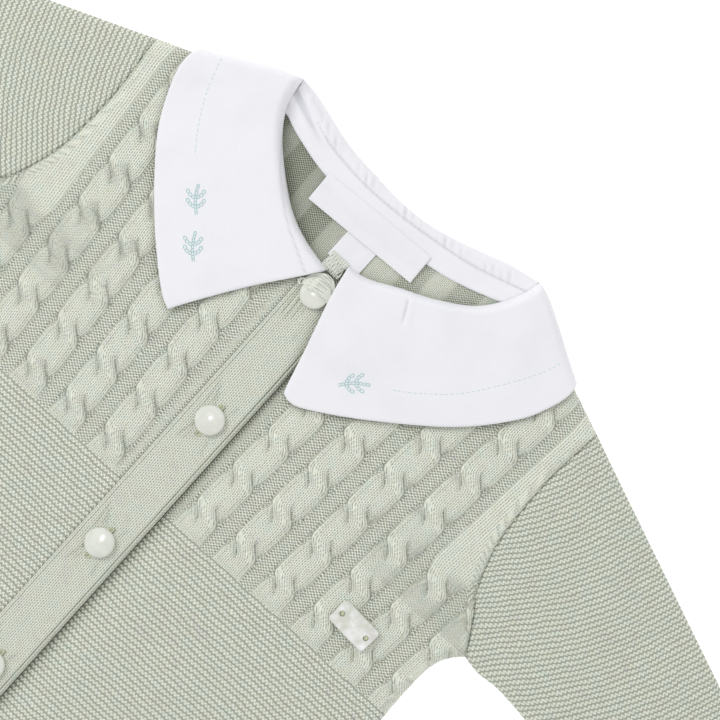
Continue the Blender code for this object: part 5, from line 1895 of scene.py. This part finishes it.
class MakeButtons(bpy.types.Operator):
    """Set the pearl buttons, the neck loop and the pearl tab"""

    bl_idname = "jumpsuit.buttons"
    bl_label = "Buttons and loop"

    def execute(self, context):
        pearl, cotton = context.scene.jumpsuit_pearl, context.scene.jumpsuit_cotton
        gloss = pearl_surface("button_pearl", pearl, pearl.white, 0.3)
        make_button("button_neck", *NECK_BUTTON, gloss)
        for number, y in enumerate(button_heights()):
            make_button(f"button_{number + 1}", BUTTON_X, y, BUTTON_RADIUS, gloss)
        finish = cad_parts["pearl_tab"].data.materials
        finish.clear()
        finish.append(pearl_surface("plate_pearl", pearl, pearl.plate, 1.1))
        make_tab_threads(thread_surface("tab_thread", cotton.buttonhole))
        make_loop(thread_surface("loop_yarn", cotton.loop))
        return {"FINISHED"}


class MakeStage(bpy.types.Operator):
    """Lay the floor and set the lights and the camera"""

    bl_idname = "jumpsuit.stage"
    bl_label = "Stage"

    def execute(self, context):
        stage = context.scene.jumpsuit_stage
        make_floor(stage.floor)
        for name, direction, size, setting in LIGHTS:
            make_light(name, direction, size, getattr(stage, setting))
        world = bpy.data.worlds.new("sky")
        world.use_nodes = True
        sky = world.node_tree.nodes["Background"]
        sky.inputs["Color"].default_value = (1.0, 1.0, 1.0, 1.0)
        sky.inputs["Strength"].default_value = stage.sky
        context.scene.world = world
        context.scene.view_settings.view_transform = "Standard"
        context.scene.view_settings.look = "None"
        make_camera(stage.view_width)
        return {"FINISHED"}


OPERATORS = (MakeBody, MakeSleeves, MakeBands, MakeCollar, MakeStitching, MakeLabels,
             MakeButtons, MakeStage)
SETTINGS = {"jumpsuit_yarn": YarnSettings, "jumpsuit_cotton": CottonSettings,
            "jumpsuit_pearl": PearlSettings, "jumpsuit_stage": StageSettings}


class JumpsuitPanel(bpy.types.Panel):
    """Settings and steps of the jumpsuit"""

    bl_idname = "VIEW3D_PT_jumpsuit"
    bl_label = "Jumpsuit"
    bl_space_type = "VIEW_3D"
    bl_region_type = "UI"
    bl_category = "Jumpsuit"

    def draw(self, context):
        for name, group in SETTINGS.items():
            column = self.layout.column(align=True)
            for key in group.__annotations__:
                column.prop(getattr(context.scene, name), key)
        for operator in OPERATORS:
            self.layout.operator(operator.bl_idname)


def register():
    for group in SETTINGS.values():
        bpy.utils.register_class(group)
    for operator in OPERATORS + (JumpsuitPanel,):
        bpy.utils.register_class(operator)
    for name, group in SETTINGS.items():
        setattr(bpy.types.Scene, name, bpy.props.PointerProperty(type=group))


def unregister():
    for name in SETTINGS:
        delattr(bpy.types.Scene, name)
    for item in (JumpsuitPanel,) + OPERATORS[::-1] + tuple(SETTINGS.values()):
        bpy.utils.unregister_class(item)


def main():
    register()
    bpy.ops.jumpsuit.body()
    bpy.ops.jumpsuit.sleeves()
    bpy.ops.jumpsuit.bands()
    bpy.ops.jumpsuit.collar()
    bpy.ops.jumpsuit.stitching()
    bpy.ops.jumpsuit.labels()
    bpy.ops.jumpsuit.buttons()
    bpy.ops.jumpsuit.stage()


if __name__ == "__main__":
    main()
